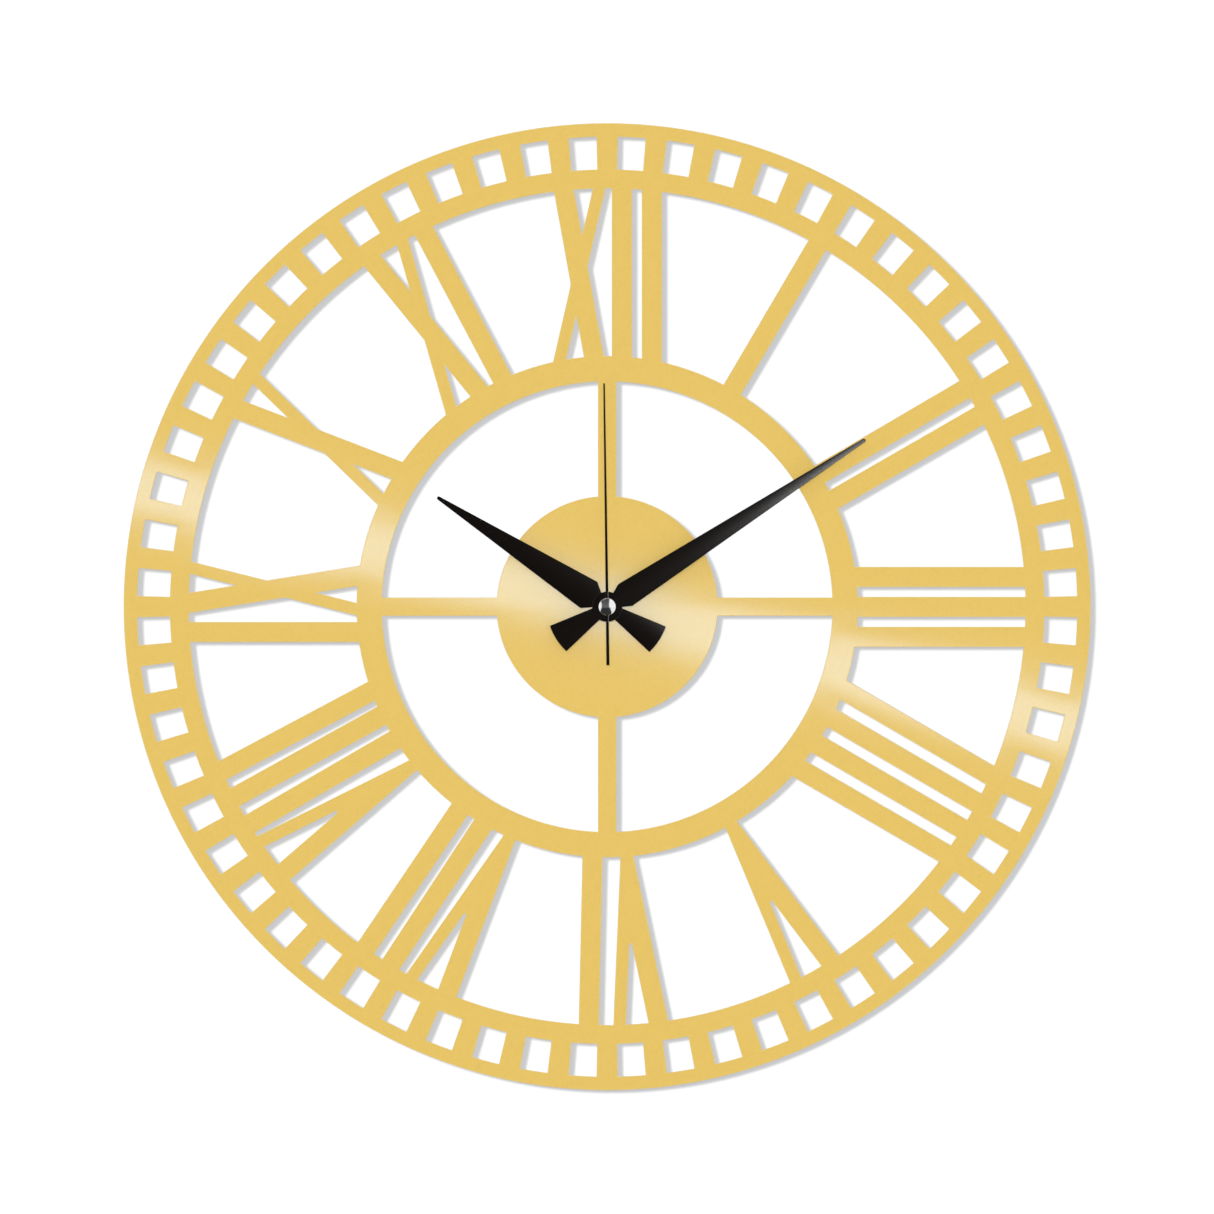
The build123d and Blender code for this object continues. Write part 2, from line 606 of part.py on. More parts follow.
coil_low = (core_low + core_high - COIL_LENGTH) / 2
coil_high = coil_low + COIL_LENGTH
coil_bobbin = spool(BOBBIN_RADIUS, coil_low, coil_high)
coil_bobbin += spool(BOBBIN_FLANGE_RADIUS, coil_low, coil_low + BOBBIN_FLANGE)
coil_bobbin += spool(BOBBIN_FLANGE_RADIUS, coil_high - BOBBIN_FLANGE, coil_high)
core_sides = (core_left - RUNNING, core_right + RUNNING)
coil_bobbin -= block(*core_sides, coil_low, coil_high, core_back - RUNNING, core_front + RUNNING)
winding_low = coil_low + BOBBIN_FLANGE
winding_high = coil_high - BOBBIN_FLANGE
coil_winding = spool(COIL_RADIUS, winding_low, winding_high)
coil_winding -= spool(BOBBIN_RADIUS, winding_low, winding_high)

# Circuit board on two posts of the case, with the crystal and the covered chip
board_right = strip_inside - BOARD_SIDE_GAP
board_left = board_right - BOARD_WIDTH
board_high = case_inside - BOARD_TOP_GAP
board_low = board_high - BOARD_HEIGHT
board_posts = [(board_left + x, board_low + BOARD_POST_RISE) for x in BOARD_POSTS_IN]
crystal_left = board_left + CRYSTAL_IN
crystal_up = board_low + CRYSTAL_RISE
chip_place = (board_left + CHIP_IN, board_low + CHIP_RISE)
board_front = BOARD_DEPTH + BOARD_THICK
circuit_board = block(board_left, board_right, board_low, board_high, BOARD_DEPTH, board_front)
for post in board_posts:
    circuit_board -= disc(BOARD_PIN_RADIUS + RUNNING, BOARD_DEPTH, board_front, post)
crystal_end = at((CRYSTAL_RADIUS - BOARD_DEPTH, crystal_up), Circle(CRYSTAL_RADIUS))
quartz_crystal = extrude(Plane.YZ.offset(crystal_left) * crystal_end, CRYSTAL_LENGTH)
chip_ball = (CHIP_RADIUS**2 + CHIP_HEIGHT**2) / (2 * CHIP_HEIGHT)
chip_cap = Pos(chip_place[0], -(BOARD_DEPTH - CHIP_HEIGHT + chip_ball), chip_place[1]) * Sphere(chip_ball)
chip_cap &= disc(CHIP_RADIUS, BOARD_DEPTH - CHIP_HEIGHT, BOARD_DEPTH, chip_place)

# Battery bay and cell
cell_start = -CELL_LENGTH / 2
shell_length = CELL_LENGTH - CELL_NUB_LENGTH
cell_plane = Plane.YZ.offset(cell_start) * Pos(-cell_depth, cell_up)
battery_cell = extrude(cell_plane * Circle(CELL_RADIUS), shell_length)
battery_cell = fillet(battery_cell.edges().filter_by(GeomType.CIRCLE), CELL_ROUND)
battery_cell += extrude(cell_plane * Circle(CELL_NUB_RADIUS), CELL_LENGTH)

# Contacts: sprung strips from the bay along the case to the back of the board
strip_back = BOARD_DEPTH
strip_front = strip_back + STRIP_WIDTH
tab_back = BOARD_DEPTH - CONTACT_SHEET
pad_back = cell_depth - CONTACT_HALF
pad_front = cell_depth + CONTACT_HALF
pad_low = cell_up - CONTACT_HALF
pad_high = cell_up + CONTACT_HALF
tab_low = board_high - TAB_LENGTH


def dimple(x, towards):
    """The part of a contact that bulges out to the end of the cell."""
    height = strip_inside - CELL_LENGTH / 2 - RUNNING
    cone = Pos(x, -cell_depth, cell_up) * Rot(0, 90 * towards, 0)
    standing = (Align.CENTER, Align.CENTER, Align.MIN)
    return cone * Cone(DIMPLE_RADIUS, DIMPLE_RADIUS / 2, height, align=standing)


positive_contact = block(strip_inside, strip_outside, pad_low, pad_high, pad_back, pad_front)
positive_contact += block(strip_inside, strip_outside, pad_low, board_high, strip_back, strip_front)
positive_contact += block(
    board_right - TAB_LENGTH, strip_outside, tab_low, board_high, tab_back, strip_back
)
positive_contact += dimple(strip_inside, -1)
negative_contact = block(-strip_outside, -strip_inside, pad_low, pad_high, pad_back, pad_front)
negative_contact += block(-strip_outside, -strip_inside, pad_low, strip_outside, strip_back, strip_front)
negative_contact += block(
    -strip_outside, board_left + TAB_LENGTH, strip_inside, strip_outside, strip_back, strip_front
)
negative_contact += block(
    board_left, board_left + TAB_LENGTH, tab_low, strip_outside, tab_back, strip_back
)
negative_contact += dimple(-strip_inside, 1)

# Rear cover: drops between the case walls behind the wheels, held by four lugs
cover_low = divider_low + FIT_GAP
cover_side = case_inside - FIT_GAP
rear_cover = block(-cover_side, cover_side, cover_low, cover_side, 0, COVER_SHEET)
lug_back = (COVER_SHEET - LUG_DEPTH) / 2
for z in LUG_AT:
    reach = cover_side + LUG_REACH
    rear_cover += block(-reach, reach, z - LUG_WIDTH / 2, z + LUG_WIDTH / 2, lug_back, lug_back + LUG_DEPTH)
rear_cover += disc(well_radius + WELL_WALL, 0, well_floor + WELL_WALL, setting_place)
rear_cover -= disc(well_radius, 0, well_floor, setting_place)
rear_cover -= disc(KNOB_SHAFT_RADIUS + RUNNING, 0, well_floor + WELL_WALL, setting_place)
for place in (centre, third_place, fifth_place, rotor_place):
    rear_cover += disc(BOSS_RADIUS, COVER_SHEET, COVER_SHEET + BOSS_HEIGHT, place)
    rear_cover -= disc(
        ARBOR_RADIUS + RUNNING, COVER_SHEET - PIVOT_DEPTH / 2 - FIT_GAP, COVER_SHEET + BOSS_HEIGHT, place
    )

# Front case: box open to the back, hanger loop, battery bay, posts, stud and bearing bosses
front_case = sheet(RectangleRounded(2 * case_half, 2 * case_half, CASE_CORNER), 0, CASE_DEPTH)
front_case -= block(-case_inside, case_inside, -case_inside, case_inside, 0, wall_inside)
hanger_arch = HANGER_WIDTH / 2
hanger_shoulder = case_half + HANGER_RISE - hanger_arch
hole_up = case_half + HANGER_HOLE_RISE
slot_up = case_half + HANGER_SLOT_RISE
hanger_outline = at((0, hanger_shoulder), Circle(hanger_arch)) + at(
    (0, (case_inside + hanger_shoulder) / 2),
    Rectangle(HANGER_WIDTH, hanger_shoulder - case_inside),
)
hanger_slot = at(
    (0, (hole_up + slot_up) / 2),
    Rectangle(2 * HANGER_SLOT_RADIUS, slot_up - hole_up),
)
hanger_outline -= [
    at((0, hole_up), Circle(HANGER_HOLE_RADIUS)),
    hanger_slot,
    at((0, slot_up), Circle(HANGER_SLOT_RADIUS)),
]
hanger_outline -= at((0, case_inside - hanger_arch), Rectangle(HANGER_WIDTH, HANGER_WIDTH))
front_case += sheet(hanger_outline, 0, HANGER_SHEET)
divider = block(-case_inside, case_inside, divider_low, divider_high, COVER_SHEET, wall_inside)
notch_back = tab_back - FIT_GAP
notch_front = strip_front + FIT_GAP
for side in (-1, 1):
    ends = sorted((side * (strip_inside - FIT_GAP), side * case_inside))
    divider -= block(*ends, divider_low, divider_high, notch_back, notch_front)
front_case += divider
ledge_front = COVER_SHEET + LEDGE_DEPTH
for z in LUG_AT:
    for side in (-1, 1):
        ends = sorted((side * (case_inside - LEDGE_REACH), side * case_inside))
        front_case += block(*ends, z - LEDGE_WIDTH / 2, z + LEDGE_WIDTH / 2, COVER_SHEET, ledge_front)
        slots = sorted((side * case_inside, side * (cover_side + LUG_REACH + FIT_GAP)))
        lug_gap = LUG_WIDTH / 2 + FIT_GAP
        front_case -= block(
            *slots, z - lug_gap, z + lug_gap, lug_back - FIT_GAP, lug_back + LUG_DEPTH + FIT_GAP
        )
front_case += disc(MOTION_STUD_RADIUS, cannon_level - END_PLAY, wall_inside, motion_place)
for post in board_posts:
    front_case += disc(BOARD_POST_RADIUS, board_front, wall_inside, post)
    front_case += disc(BOARD_PIN_RADIUS, BOARD_DEPTH - FIT_GAP, board_front, post)
for place in (third_place, fifth_place, rotor_place, setting_place):
    front_case += disc(BOSS_RADIUS, wall_inside - BOSS_HEIGHT, wall_inside, place)
    front_case -= disc(
        ARBOR_RADIUS + RUNNING, wall_inside - BOSS_HEIGHT, wall_inside + PIVOT_DEPTH / 2, place
    )
front_case -= disc(BUSH_RADIUS + RUNNING, wall_inside, CASE_DEPTH)

os.makedirs("parts", exist_ok=True)
nodes = {
    "dial_plate": dial_plate,
    "hour_hand": hour_hand,
    "hour_bush": hour_bush,
    "minute_hand": minute_hand,
    "minute_bush": minute_bush,
    "second_hand": second_hand,
    "second_collet": second_collet,
    "second_cap": second_cap,
    "sealing_washer": sealing_washer,
    "flat_washer": flat_washer,
    "hex_nut": hex_nut,
    "threaded_bush": threaded_bush,
    "front_case": front_case,
    "rear_cover": rear_cover,
    "cannon_pinion": cannon_pinion,
    "hour_wheel": hour_wheel,
    "motion_wheel": motion_wheel,
    "centre_wheel": centre_wheel,
    "third_wheel": third_wheel,
    "seconds_wheel": seconds_wheel,
    "seconds_arbor": seconds_arbor,
    "fifth_wheel": fifth_wheel,
    "rotor_pinion": rotor_pinion,
    "rotor_magnet": rotor_magnet,
    "setting_pinion": setting_pinion,
    "setting_knob": setting_knob,
    "coil_core": coil_core,
    "stator_plate": stator_plate,
    "coil_bobbin": coil_bobbin,
    "coil_winding": coil_winding,
    "circuit_board": circuit_board,
    "quartz_crystal": quartz_crystal,
    "chip_cap": chip_cap,
    "battery_cell": battery_cell,
    "positive_contact": positive_contact,
    "negative_contact": negative_contact,
}
for name, shape in nodes.items():
    shape.label = name
    export_step(shape, f"parts/{name}.step")
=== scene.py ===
import math

import bmesh
import bpy
from mathutils import Matrix, Vector


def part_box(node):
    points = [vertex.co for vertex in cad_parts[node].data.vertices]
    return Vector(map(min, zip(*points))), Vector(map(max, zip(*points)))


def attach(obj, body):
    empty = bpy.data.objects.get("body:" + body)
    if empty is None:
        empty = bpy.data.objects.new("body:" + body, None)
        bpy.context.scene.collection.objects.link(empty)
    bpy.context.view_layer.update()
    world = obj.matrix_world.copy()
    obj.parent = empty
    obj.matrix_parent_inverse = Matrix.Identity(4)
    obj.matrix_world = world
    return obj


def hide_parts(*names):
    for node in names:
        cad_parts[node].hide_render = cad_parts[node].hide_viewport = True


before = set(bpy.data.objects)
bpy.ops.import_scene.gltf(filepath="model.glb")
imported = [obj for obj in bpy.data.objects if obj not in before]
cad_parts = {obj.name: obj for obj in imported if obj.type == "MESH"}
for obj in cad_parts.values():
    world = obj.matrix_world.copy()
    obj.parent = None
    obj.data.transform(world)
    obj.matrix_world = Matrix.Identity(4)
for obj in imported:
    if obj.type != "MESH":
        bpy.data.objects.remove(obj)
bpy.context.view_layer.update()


# Movement case: a square box of black ABS, injection moulded in one shot with the hanger loop on
# top and the battery bay below. The mould is spark eroded, so the skin has a fine even grain, and
# its edges are rounded and polished a little by handling.
MM = 0.001
CASE_EDGE = 0.35 * MM
CASE_OUTSIDE = 27.5 * MM
WELD = 0.001 * MM
SLIVER = 0.0005 * MM
FLAT_ANGLE = math.radians(1)
SHARP_ANGLE = math.radians(40)
CREASE_ANGLE = math.radians(50)


def linear(hex_code):
    """A colour written as sRGB hex, as the linear values that shaders take."""
    channels = [int(hex_code[i : i + 2], 16) / 255 for i in (1, 3, 5)]
    return (*[c / 12.92 if c <= 0.04045 else ((c + 0.055) / 1.055) ** 2.4 for c in channels], 1.0)


def join(tree, node, links):
    """Link the outputs of other nodes to the named inputs of a node."""
    for name, source in links.items():
        tree.links.new(source, node.inputs[name])


def add_node(tree, kind, attributes=None, values=None, links=None):
    """Add one node with its attributes, input values and links. A Mix node of colours takes them at
    inputs 6 and 7 and gives the result at output 2."""
    new = tree.nodes.new(kind)
    for name, value in (attributes or {}).items():
        setattr(new, name, value)
    for name, value in (values or {}).items():
        new.inputs[name].default_value = value
    join(tree, new, links or {})
    return new


def blank_finish(name):
    """A material with no nodes yet, and its tree."""
    finish = bpy.data.materials.new(name)
    finish.use_nodes = True
    finish.node_tree.nodes.clear()
    return finish, finish.node_tree


def new_finish(name, values):
    """A material, its tree, its shader and the Object coordinates that its patterns lie in. The
    values hold all over the surface; what varies is joined to the shader once it is made."""
    finish, tree = blank_finish(name)
    place = add_node(tree, "ShaderNodeTexCoord").outputs["Object"]
    shader = add_node(tree, "ShaderNodeBsdfPrincipled", values=values)
    add_node(tree, "ShaderNodeOutputMaterial", links={"Surface": shader.outputs[0]})
    return finish, tree, shader, place


def roll_edges(solid, edges, width):
    """Round edges of a solid; returns the new faces."""
    rounded = bmesh.ops.bevel(
        solid, geom=edges, offset=width, segments=2, profile=0.5, affect="EDGES", clamp_overlap=True
    )
    return rounded["faces"]


def wear_edges(solid, width, chosen=lambda edge: True):
    """Round the chosen sharp edges of a solid. They carry 1 in the layer edge, where wear shows."""
    wear = solid.loops.layers.float.new("edge")
    sharp = [
        e
        for e in solid.edges
        if len(e.link_faces) == 2 and e.calc_face_angle(0) > SHARP_ANGLE and chosen(e)
    ]
    for face in roll_edges(solid, sharp, width):
        for loop in face.loops:
            loop[wear] = 1.0


def softened_copy(node, width, chosen=lambda edge: True):
    """A copy of a CAD piece whose chosen sharp edges are rounded."""
    solid = bmesh.new()
    solid.from_mesh(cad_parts[node].data)
    bmesh.ops.remove_doubles(solid, verts=solid.verts, dist=WELD)
    bmesh.ops.dissolve_limit(
        solid, angle_limit=FLAT_ANGLE, verts=solid.verts, edges=solid.edges
    )
    wear_edges(solid, width, chosen)
    bmesh.ops.dissolve_degenerate(solid, edges=solid.edges, dist=SLIVER)
    return solid


def set_piece(name, solid, finish, slot, body, *nodes):
    """Make a piece of a solid, with its finish, that rides on a body in place of CAD nodes."""
    mesh = bpy.data.meshes.new(name)
    solid.to_mesh(mesh)
    solid.free()
    mesh.polygons.foreach_set("use_smooth", [True] * len(mesh.polygons))
    mesh.set_sharp_from_angle(angle=CREASE_ANGLE)
    mesh.materials.append(finish)
    piece = bpy.data.objects.new(name, mesh)
    bpy.context.scene.collection.objects.link(piece)
    piece.modifiers.new("flat_faces", "WEIGHTED_NORMAL").keep_sharp = True
    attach(piece, body)
    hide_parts(*nodes)
    return piece


def worn_at_edges(tree, ground, pattern, colour):
    """A ground tone that goes over to another colour in patches along the rounded edges."""
    edge = add_node(tree, "ShaderNodeAttribute", {"attribute_name": "edge"})
    rub = add_node(
        tree,
        "ShaderNodeMath",
        {"operation": "MULTIPLY"},
        links={0: edge.outputs["Fac"], 1: pattern},
    )
    worn = add_node(
        tree,
        "ShaderNodeMix",
        {"data_type": "RGBA"},
        {7: linear(colour)},
        {"Factor": rub.outputs[0], 6: ground},
    )
    return worn.outputs[2]


# Black ABS with a spark-eroded grain: dull, a soft highlight, paler where edges are rubbed. The
# grain is about 0.1 mm on the real case and is drawn at 0.4 mm so that it shows.
CASE_GRAIN = 0.4 * MM
CASE_CLOUD = 14 * MM
GRAIN_DEPTH = 0.06 * MM
case_abs, tree, shader, place = new_finish("black_moulded_abs", {"IOR": 1.54})
grain = add_node(
    tree,
    "ShaderNodeTexNoise",
    values={"Scale": 1 / CASE_GRAIN, "Detail": 2.0},
    links={"Vector": place},
)
cloud = add_node(
    tree,
    "ShaderNodeTexNoise",
    values={"Scale": 1 / CASE_CLOUD, "Detail": 4.0},
    links={"Vector": place},
)
tone = add_node(
    tree,
    "ShaderNodeMix",
    {"data_type": "RGBA"},
    {6: linear("#17181A"), 7: linear("#212224")},
    {"Factor": cloud.outputs["Fac"]},
)
worn = worn_at_edges(tree, tone.outputs[2], cloud.outputs["Fac"], "#4A4B4D")
dullness = add_node(
    tree,
    "ShaderNodeMapRange",
    values={"To Min": 0.42, "To Max": 0.6},
    links={"Value": grain.outputs["Fac"]},
)
relief = add_node(
    tree,
    "ShaderNodeBump",
    values={"Strength": 0.35, "Distance": GRAIN_DEPTH},
    links={"Height": grain.outputs["Fac"]},
)
join(tree, shader, {"Base Color": worn, "Roughness": dullness.outputs[0]})
join(tree, shader, {"Normal": relief.outputs[0]})


def on_outside(edge):
    return all(max(abs(v.co.x), abs(v.co.z)) > CASE_OUTSIDE for v in edge.verts)


case_solid = softened_copy("front_case", CASE_EDGE, on_outside)

# Polarity marks moulded on the floor of the battery bay, in the hollow beside the round cell: a
# minus on one side and a plus on the other.
BAY_FLOOR = 15.7 * MM
MARK_HEIGHT = 0.25 * MM
MARK_LENGTH = 2.6 * MM
MARK_WIDTH = 0.6 * MM
MARK_EDGE = 0.1 * MM
MARK_AT = (21.0 * MM, -25.2 * MM)


def raised_bar(solid, x, z, width, height, near, far, rounding):
    """A small bar with rounded edges that stands on a face, between two depths."""
    middle = Vector((x, -(near + far) / 2, z))
    size = Matrix.Diagonal((width, far - near, height, 1.0))
    bar = bmesh.ops.create_cube(solid, size=1.0, matrix=Matrix.Translation(middle) @ size)
    edges = dict.fromkeys(e for v in bar["verts"] for e in v.link_edges)
    roll_edges(solid, list(edges), rounding)


mark_depths = (BAY_FLOOR - MARK_HEIGHT, BAY_FLOOR + MARK_HEIGHT)
for side in (-1, 1):
    mark_at = (side * MARK_AT[0], MARK_AT[1])
    raised_bar(case_solid, *mark_at, MARK_LENGTH, MARK_WIDTH, *mark_depths, MARK_EDGE)
    if side > 0:
        raised_bar(case_solid, *mark_at, MARK_WIDTH, MARK_LENGTH, *mark_depths, MARK_EDGE)
set_piece("case_moulding", case_solid, case_abs, "case_plastic", "clock_body", "front_case")


# Threaded bush: turned from brass bar, with a flange inside the case wall and a fine outside thread
# that carries the dial's nut. The hour tube runs in its bore.
BUSH_OUTSIDE = 3.95 * MM
BUSH_EDGE = 0.12 * MM
THREAD_PITCH = 0.75 * MM
THREAD_DEPTH = 0.34 * MM
THREAD_SIDES = 4.0
BUSH_BORE = 2.65 * MM
FLANGE_RADIUS = 5.5 * MM
FLANGE_DEPTHS = (14.6 * MM, 15.7 * MM)
BUSH_FRONT = 23.3 * MM
TURNED_SIDES = 72
TO_FRONT = Matrix.Rotation(math.radians(90), 4, "X")

# Brass from the lathe: warm yellow metal, fine tool rings about 0.05 mm apart, drawn at 0.25 mm,
# and a duller brown tarnish in patches. The rings of a Wave node repeat every tenth of pi.
TOOL_RINGS = 0.25 * MM
RING_DEPTH = 0.02 * MM
TARNISH = 2.5 * MM
brass, tree, shader, place = new_finish("turned_brass", {"Metallic": 1.0})
rings = add_node(
    tree,
    "ShaderNodeTexWave",
    {"wave_type": "RINGS", "rings_direction": "Y"},
    {"Scale": math.pi / 10 / TOOL_RINGS, "Distortion": 0.6, "Detail": 2.0},
    {"Vector": place},
)
tarnish = add_node(
    tree,
    "ShaderNodeTexNoise",
    values={"Scale": 1 / TARNISH, "Detail": 5.0},
    links={"Vector": place},
)
tone = add_node(
    tree,
    "ShaderNodeMix",
    {"data_type": "RGBA"},
    {6: linear("#D9B765"), 7: linear("#B08B45")},
    {"Factor": tarnish.outputs["Fac"]},
)
dullness = add_node(
    tree,
    "ShaderNodeMapRange",
    values={"To Min": 0.2, "To Max": 0.38},
    links={"Value": tarnish.outputs["Fac"]},
)
relief = add_node(
    tree,
    "ShaderNodeBump",
    values={"Strength": 0.25, "Distance": RING_DEPTH},
    links={"Height": rings.outputs["Fac"]},
)
join(tree, shader, {"Base Color": tone.outputs[2], "Roughness": dullness.outputs[0]})
join(tree, shader, {"Normal": relief.outputs[0]})


def turned(outline, lay, edge=0.0, sides=TURNED_SIDES):
    """A solid of revolution of a closed outline of radius and height, laid in place by a matrix."""
    solid = bmesh.new()
    turns = [2 * math.pi * n / sides for n in range(sides)]
    rings = []
    for radius, height in outline:
        if radius == 0:
            rings.append([solid.verts.new(lay @ Vector((0, 0, height)))] * sides)
            continue
        points = [Vector((radius * math.cos(a), radius * math.sin(a), height)) for a in turns]
        rings.append([solid.verts.new(lay @ point) for point in points])
    for low, high in zip(rings, rings[1:] + rings[:1]):
        for n in range(sides):
            after = (n + 1) % sides
            corners = list(dict.fromkeys((low[n], low[after], high[after], high[n])))
            if len(corners) > 2:
                solid.faces.new(corners)
    bmesh.ops.recalc_face_normals(solid, faces=solid.faces)
    if edge:
        wear_edges(solid, edge)
    return solid


core_radius = BUSH_OUTSIDE - THREAD_DEPTH
bush_solid = turned(
    [
        (BUSH_BORE, FLANGE_DEPTHS[0]),
        (FLANGE_RADIUS, FLANGE_DEPTHS[0]),
        (FLANGE_RADIUS, FLANGE_DEPTHS[1]),
        (core_radius, FLANGE_DEPTHS[1]),
        (core_radius, BUSH_FRONT),
        (BUSH_BORE, BUSH_FRONT),
    ],
    TO_FRONT,
    BUSH_EDGE,
)
set_piece("bush_barrel", bush_solid, brass, "clamp_brass", "clock_body", "threaded_bush")


def new_growth(name, *sizes):
    """An empty geometry tree with named sizes as its inputs; returns the tree and their node."""
    tree = bpy.data.node_groups.new(name, "GeometryNodeTree")
    for size in sizes:
        tree.interface.new_socket(size, in_out="INPUT", socket_type="NodeSocketFloat")
    tree.interface.new_socket("Geometry", in_out="OUTPUT", socket_type="NodeSocketGeometry")
    return tree, add_node(tree, "NodeGroupInput")


def grown(name, tree, sizes):
    """Run a geometry tree with its sizes set and keep what it grows as a plain solid."""
    seed = bpy.data.objects.new(name, bpy.data.meshes.new(name))
    bpy.context.scene.collection.objects.link(seed)
    growth = seed.modifiers.new(name, "NODES")
    growth.node_group = tree
    for item in tree.interface.items_tree:
        if item.in_out == "INPUT":
            growth[item.identifier] = sizes[item.name]
    depsgraph = bpy.context.evaluated_depsgraph_get()
    mesh = bpy.data.meshes.new_from_object(seed.evaluated_get(depsgraph))
    bpy.data.objects.remove(seed)
    solid = bmesh.new()
    solid.from_mesh(mesh)
    bpy.data.meshes.remove(mesh)
    return solid


# A helix of wire or of thread ridge: as many turns as the pitch gives along the length.
TURN_STEPS = 40
helix, sizes = new_growth("wound_helix", "Radius", "Pitch", "Length", "Thickness", "Sides")
turns = add_node(
    helix,
    "ShaderNodeMath",
    {"operation": "DIVIDE"},
    links={0: sizes.outputs["Length"], 1: sizes.outputs["Pitch"]},
)
line = add_node(
    helix,
    "GeometryNodeCurveSpiral",
    values={"Resolution": TURN_STEPS},
    links={
        "Rotations": turns.outputs[0],
        "Start Radius": sizes.outputs["Radius"],
        "End Radius": sizes.outputs["Radius"],
        "Height": sizes.outputs["Length"],
    },
)
section = add_node(
    helix,
    "GeometryNodeCurvePrimitiveCircle",
    links={"Resolution": sizes.outputs["Sides"], "Radius": sizes.outputs["Thickness"]},
)
wire = add_node(
    helix,
    "GeometryNodeCurveToMesh",
    values={"Fill Caps": True},
    links={"Curve": line.outputs[0], "Profile Curve": section.outputs[0]},
)
real_wire = add_node(helix, "GeometryNodeRealizeInstances", links={"Geometry": wire.outputs[0]})
coated = add_node(
    helix,
    "GeometryNodeSetMaterial",
    values={"Material": brass},
    links={"Geometry": real_wire.outputs[0]},
)
add_node(helix, "NodeGroupOutput", links={"Geometry": coated.outputs[0]})

thread_start = FLANGE_DEPTHS[1] + THREAD_PITCH
thread = grown(
    "bush_thread",
    helix,
    {
        "Radius": core_radius,
        "Pitch": THREAD_PITCH,
        "Length": BUSH_FRONT - thread_start - THREAD_PITCH,
        "Thickness": THREAD_DEPTH,
        "Sides": THREAD_SIDES,
    },
)
thread.transform(TO_FRONT @ Matrix.Translation((0, 0, thread_start)))
set_piece("bush_thread", thread, brass, "clamp_brass", "clock_body")


# Wheel train: wheels and pinions moulded in natural acetal, running on their own pivots, with a
# drawn steel arbor through the seconds wheel. The CAD teeth are kept as they are.
ARBOR_EDGE = 0.1 * MM


def cloudy_finish(name, values, pattern, tones, dullness=None, relief=None):
    """A finish whose tone follows one soft pattern, and where they are given so do its roughness,
    between two values, and its relief, by strength and depth."""
    finish, tree, shader, place = new_finish(name, values)
    cloud = add_node(tree, "ShaderNodeTexNoise", values=pattern, links={"Vector": place})
    tone = add_node(
        tree,
        "ShaderNodeMix",
        {"data_type": "RGBA"},
        {6: linear(tones[0]), 7: linear(tones[1])},
        {"Factor": cloud.outputs["Fac"]},
    )
    join(tree, shader, {"Base Color": tone.outputs[2]})
    if dullness:
        dull = add_node(
            tree,
            "ShaderNodeMapRange",
            values={"To Min": dullness[0], "To Max": dullness[1]},
            links={"Value": cloud.outputs["Fac"]},
        )
        join(tree, shader, {"Roughness": dull.outputs[0]})
    if relief:
        raised = add_node(
            tree,
            "ShaderNodeBump",
            values={"Strength": relief[0], "Distance": relief[1]},
            links={"Height": cloud.outputs["Fac"]},
        )
        join(tree, shader, {"Normal": raised.outputs[0]})
    return finish


# Natural acetal: ivory white, waxy, slightly see-through, with faint flow marks from the gate.
FLOW = 3 * MM
FLOW_DEPTH = 0.05 * MM
acetal = cloudy_finish(
    "natural_moulded_acetal",
    {"IOR": 1.48, "Subsurface Weight": 0.15, "Subsurface Scale": 0.5 * MM},
    {"Scale": 1 / FLOW, "Detail": 3.0, "Distortion": 1.2},
    ("#ECE8DC", "#DDD7C6"),
    dullness=(0.28, 0.42),
    relief=(0.1, FLOW_DEPTH),
)


def dress(node, finish):
    """Give a CAD piece that stays as it is its finish."""
    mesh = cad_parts[node].data
    mesh.materials.clear()
    mesh.materials.append(finish)


for node in (
    "cannon_pinion",
    "hour_wheel",
    "motion_wheel",
    "centre_wheel",
    "third_wheel",
    "seconds_wheel",
    "fifth_wheel",
    "rotor_pinion",
    "setting_pinion",
):
    dress(node, acetal)

# Drawn and blanked steel: grey metal with fine lines along the strip, 0.05 mm apart on the real one
# and drawn at 0.2 mm, and a few darker oil stains.
STEEL_LINES = 0.2 * MM
STAIN = 4 * MM
LINE_STRETCH = (1.0, 1.0, 0.05)
steel, tree, shader, place = new_finish("bare_blanked_steel", {"Metallic": 1.0})
along = add_node(
    tree, "ShaderNodeMapping", values={"Scale": LINE_STRETCH}, links={"Vector": place}
)
lines = add_node(
    tree,
    "ShaderNodeTexNoise",
    values={"Scale": 1 / STEEL_LINES, "Detail": 2.0},
    links={"Vector": along.outputs[0]},
)
stain = add_node(
    tree,
    "ShaderNodeTexNoise",
    values={"Scale": 1 / STAIN, "Detail": 4.0},
    links={"Vector": place},
)
tone = add_node(
    tree,
    "ShaderNodeMix",
    {"data_type": "RGBA"},
    {6: linear("#C4C6C9"), 7: linear("#9A9B9E")},
    {"Factor": stain.outputs["Fac"]},
)
dullness = add_node(
    tree,
    "ShaderNodeMapRange",
    values={"To Min": 0.22, "To Max": 0.45},
    links={"Value": lines.outputs["Fac"]},
)
join(tree, shader, {"Base Color": tone.outputs[2], "Roughness": dullness.outputs[0]})


def set_softened(name, node, edge, finish, slot, body):
    """Set a piece in a CAD node's place: the same shape, with all its sharp edges rounded."""
    set_piece(name, softened_copy(node, edge), finish, slot, body, node)


set_softened("arbor_rod", "seconds_arbor", ARBOR_EDGE, steel, "steel", "second")


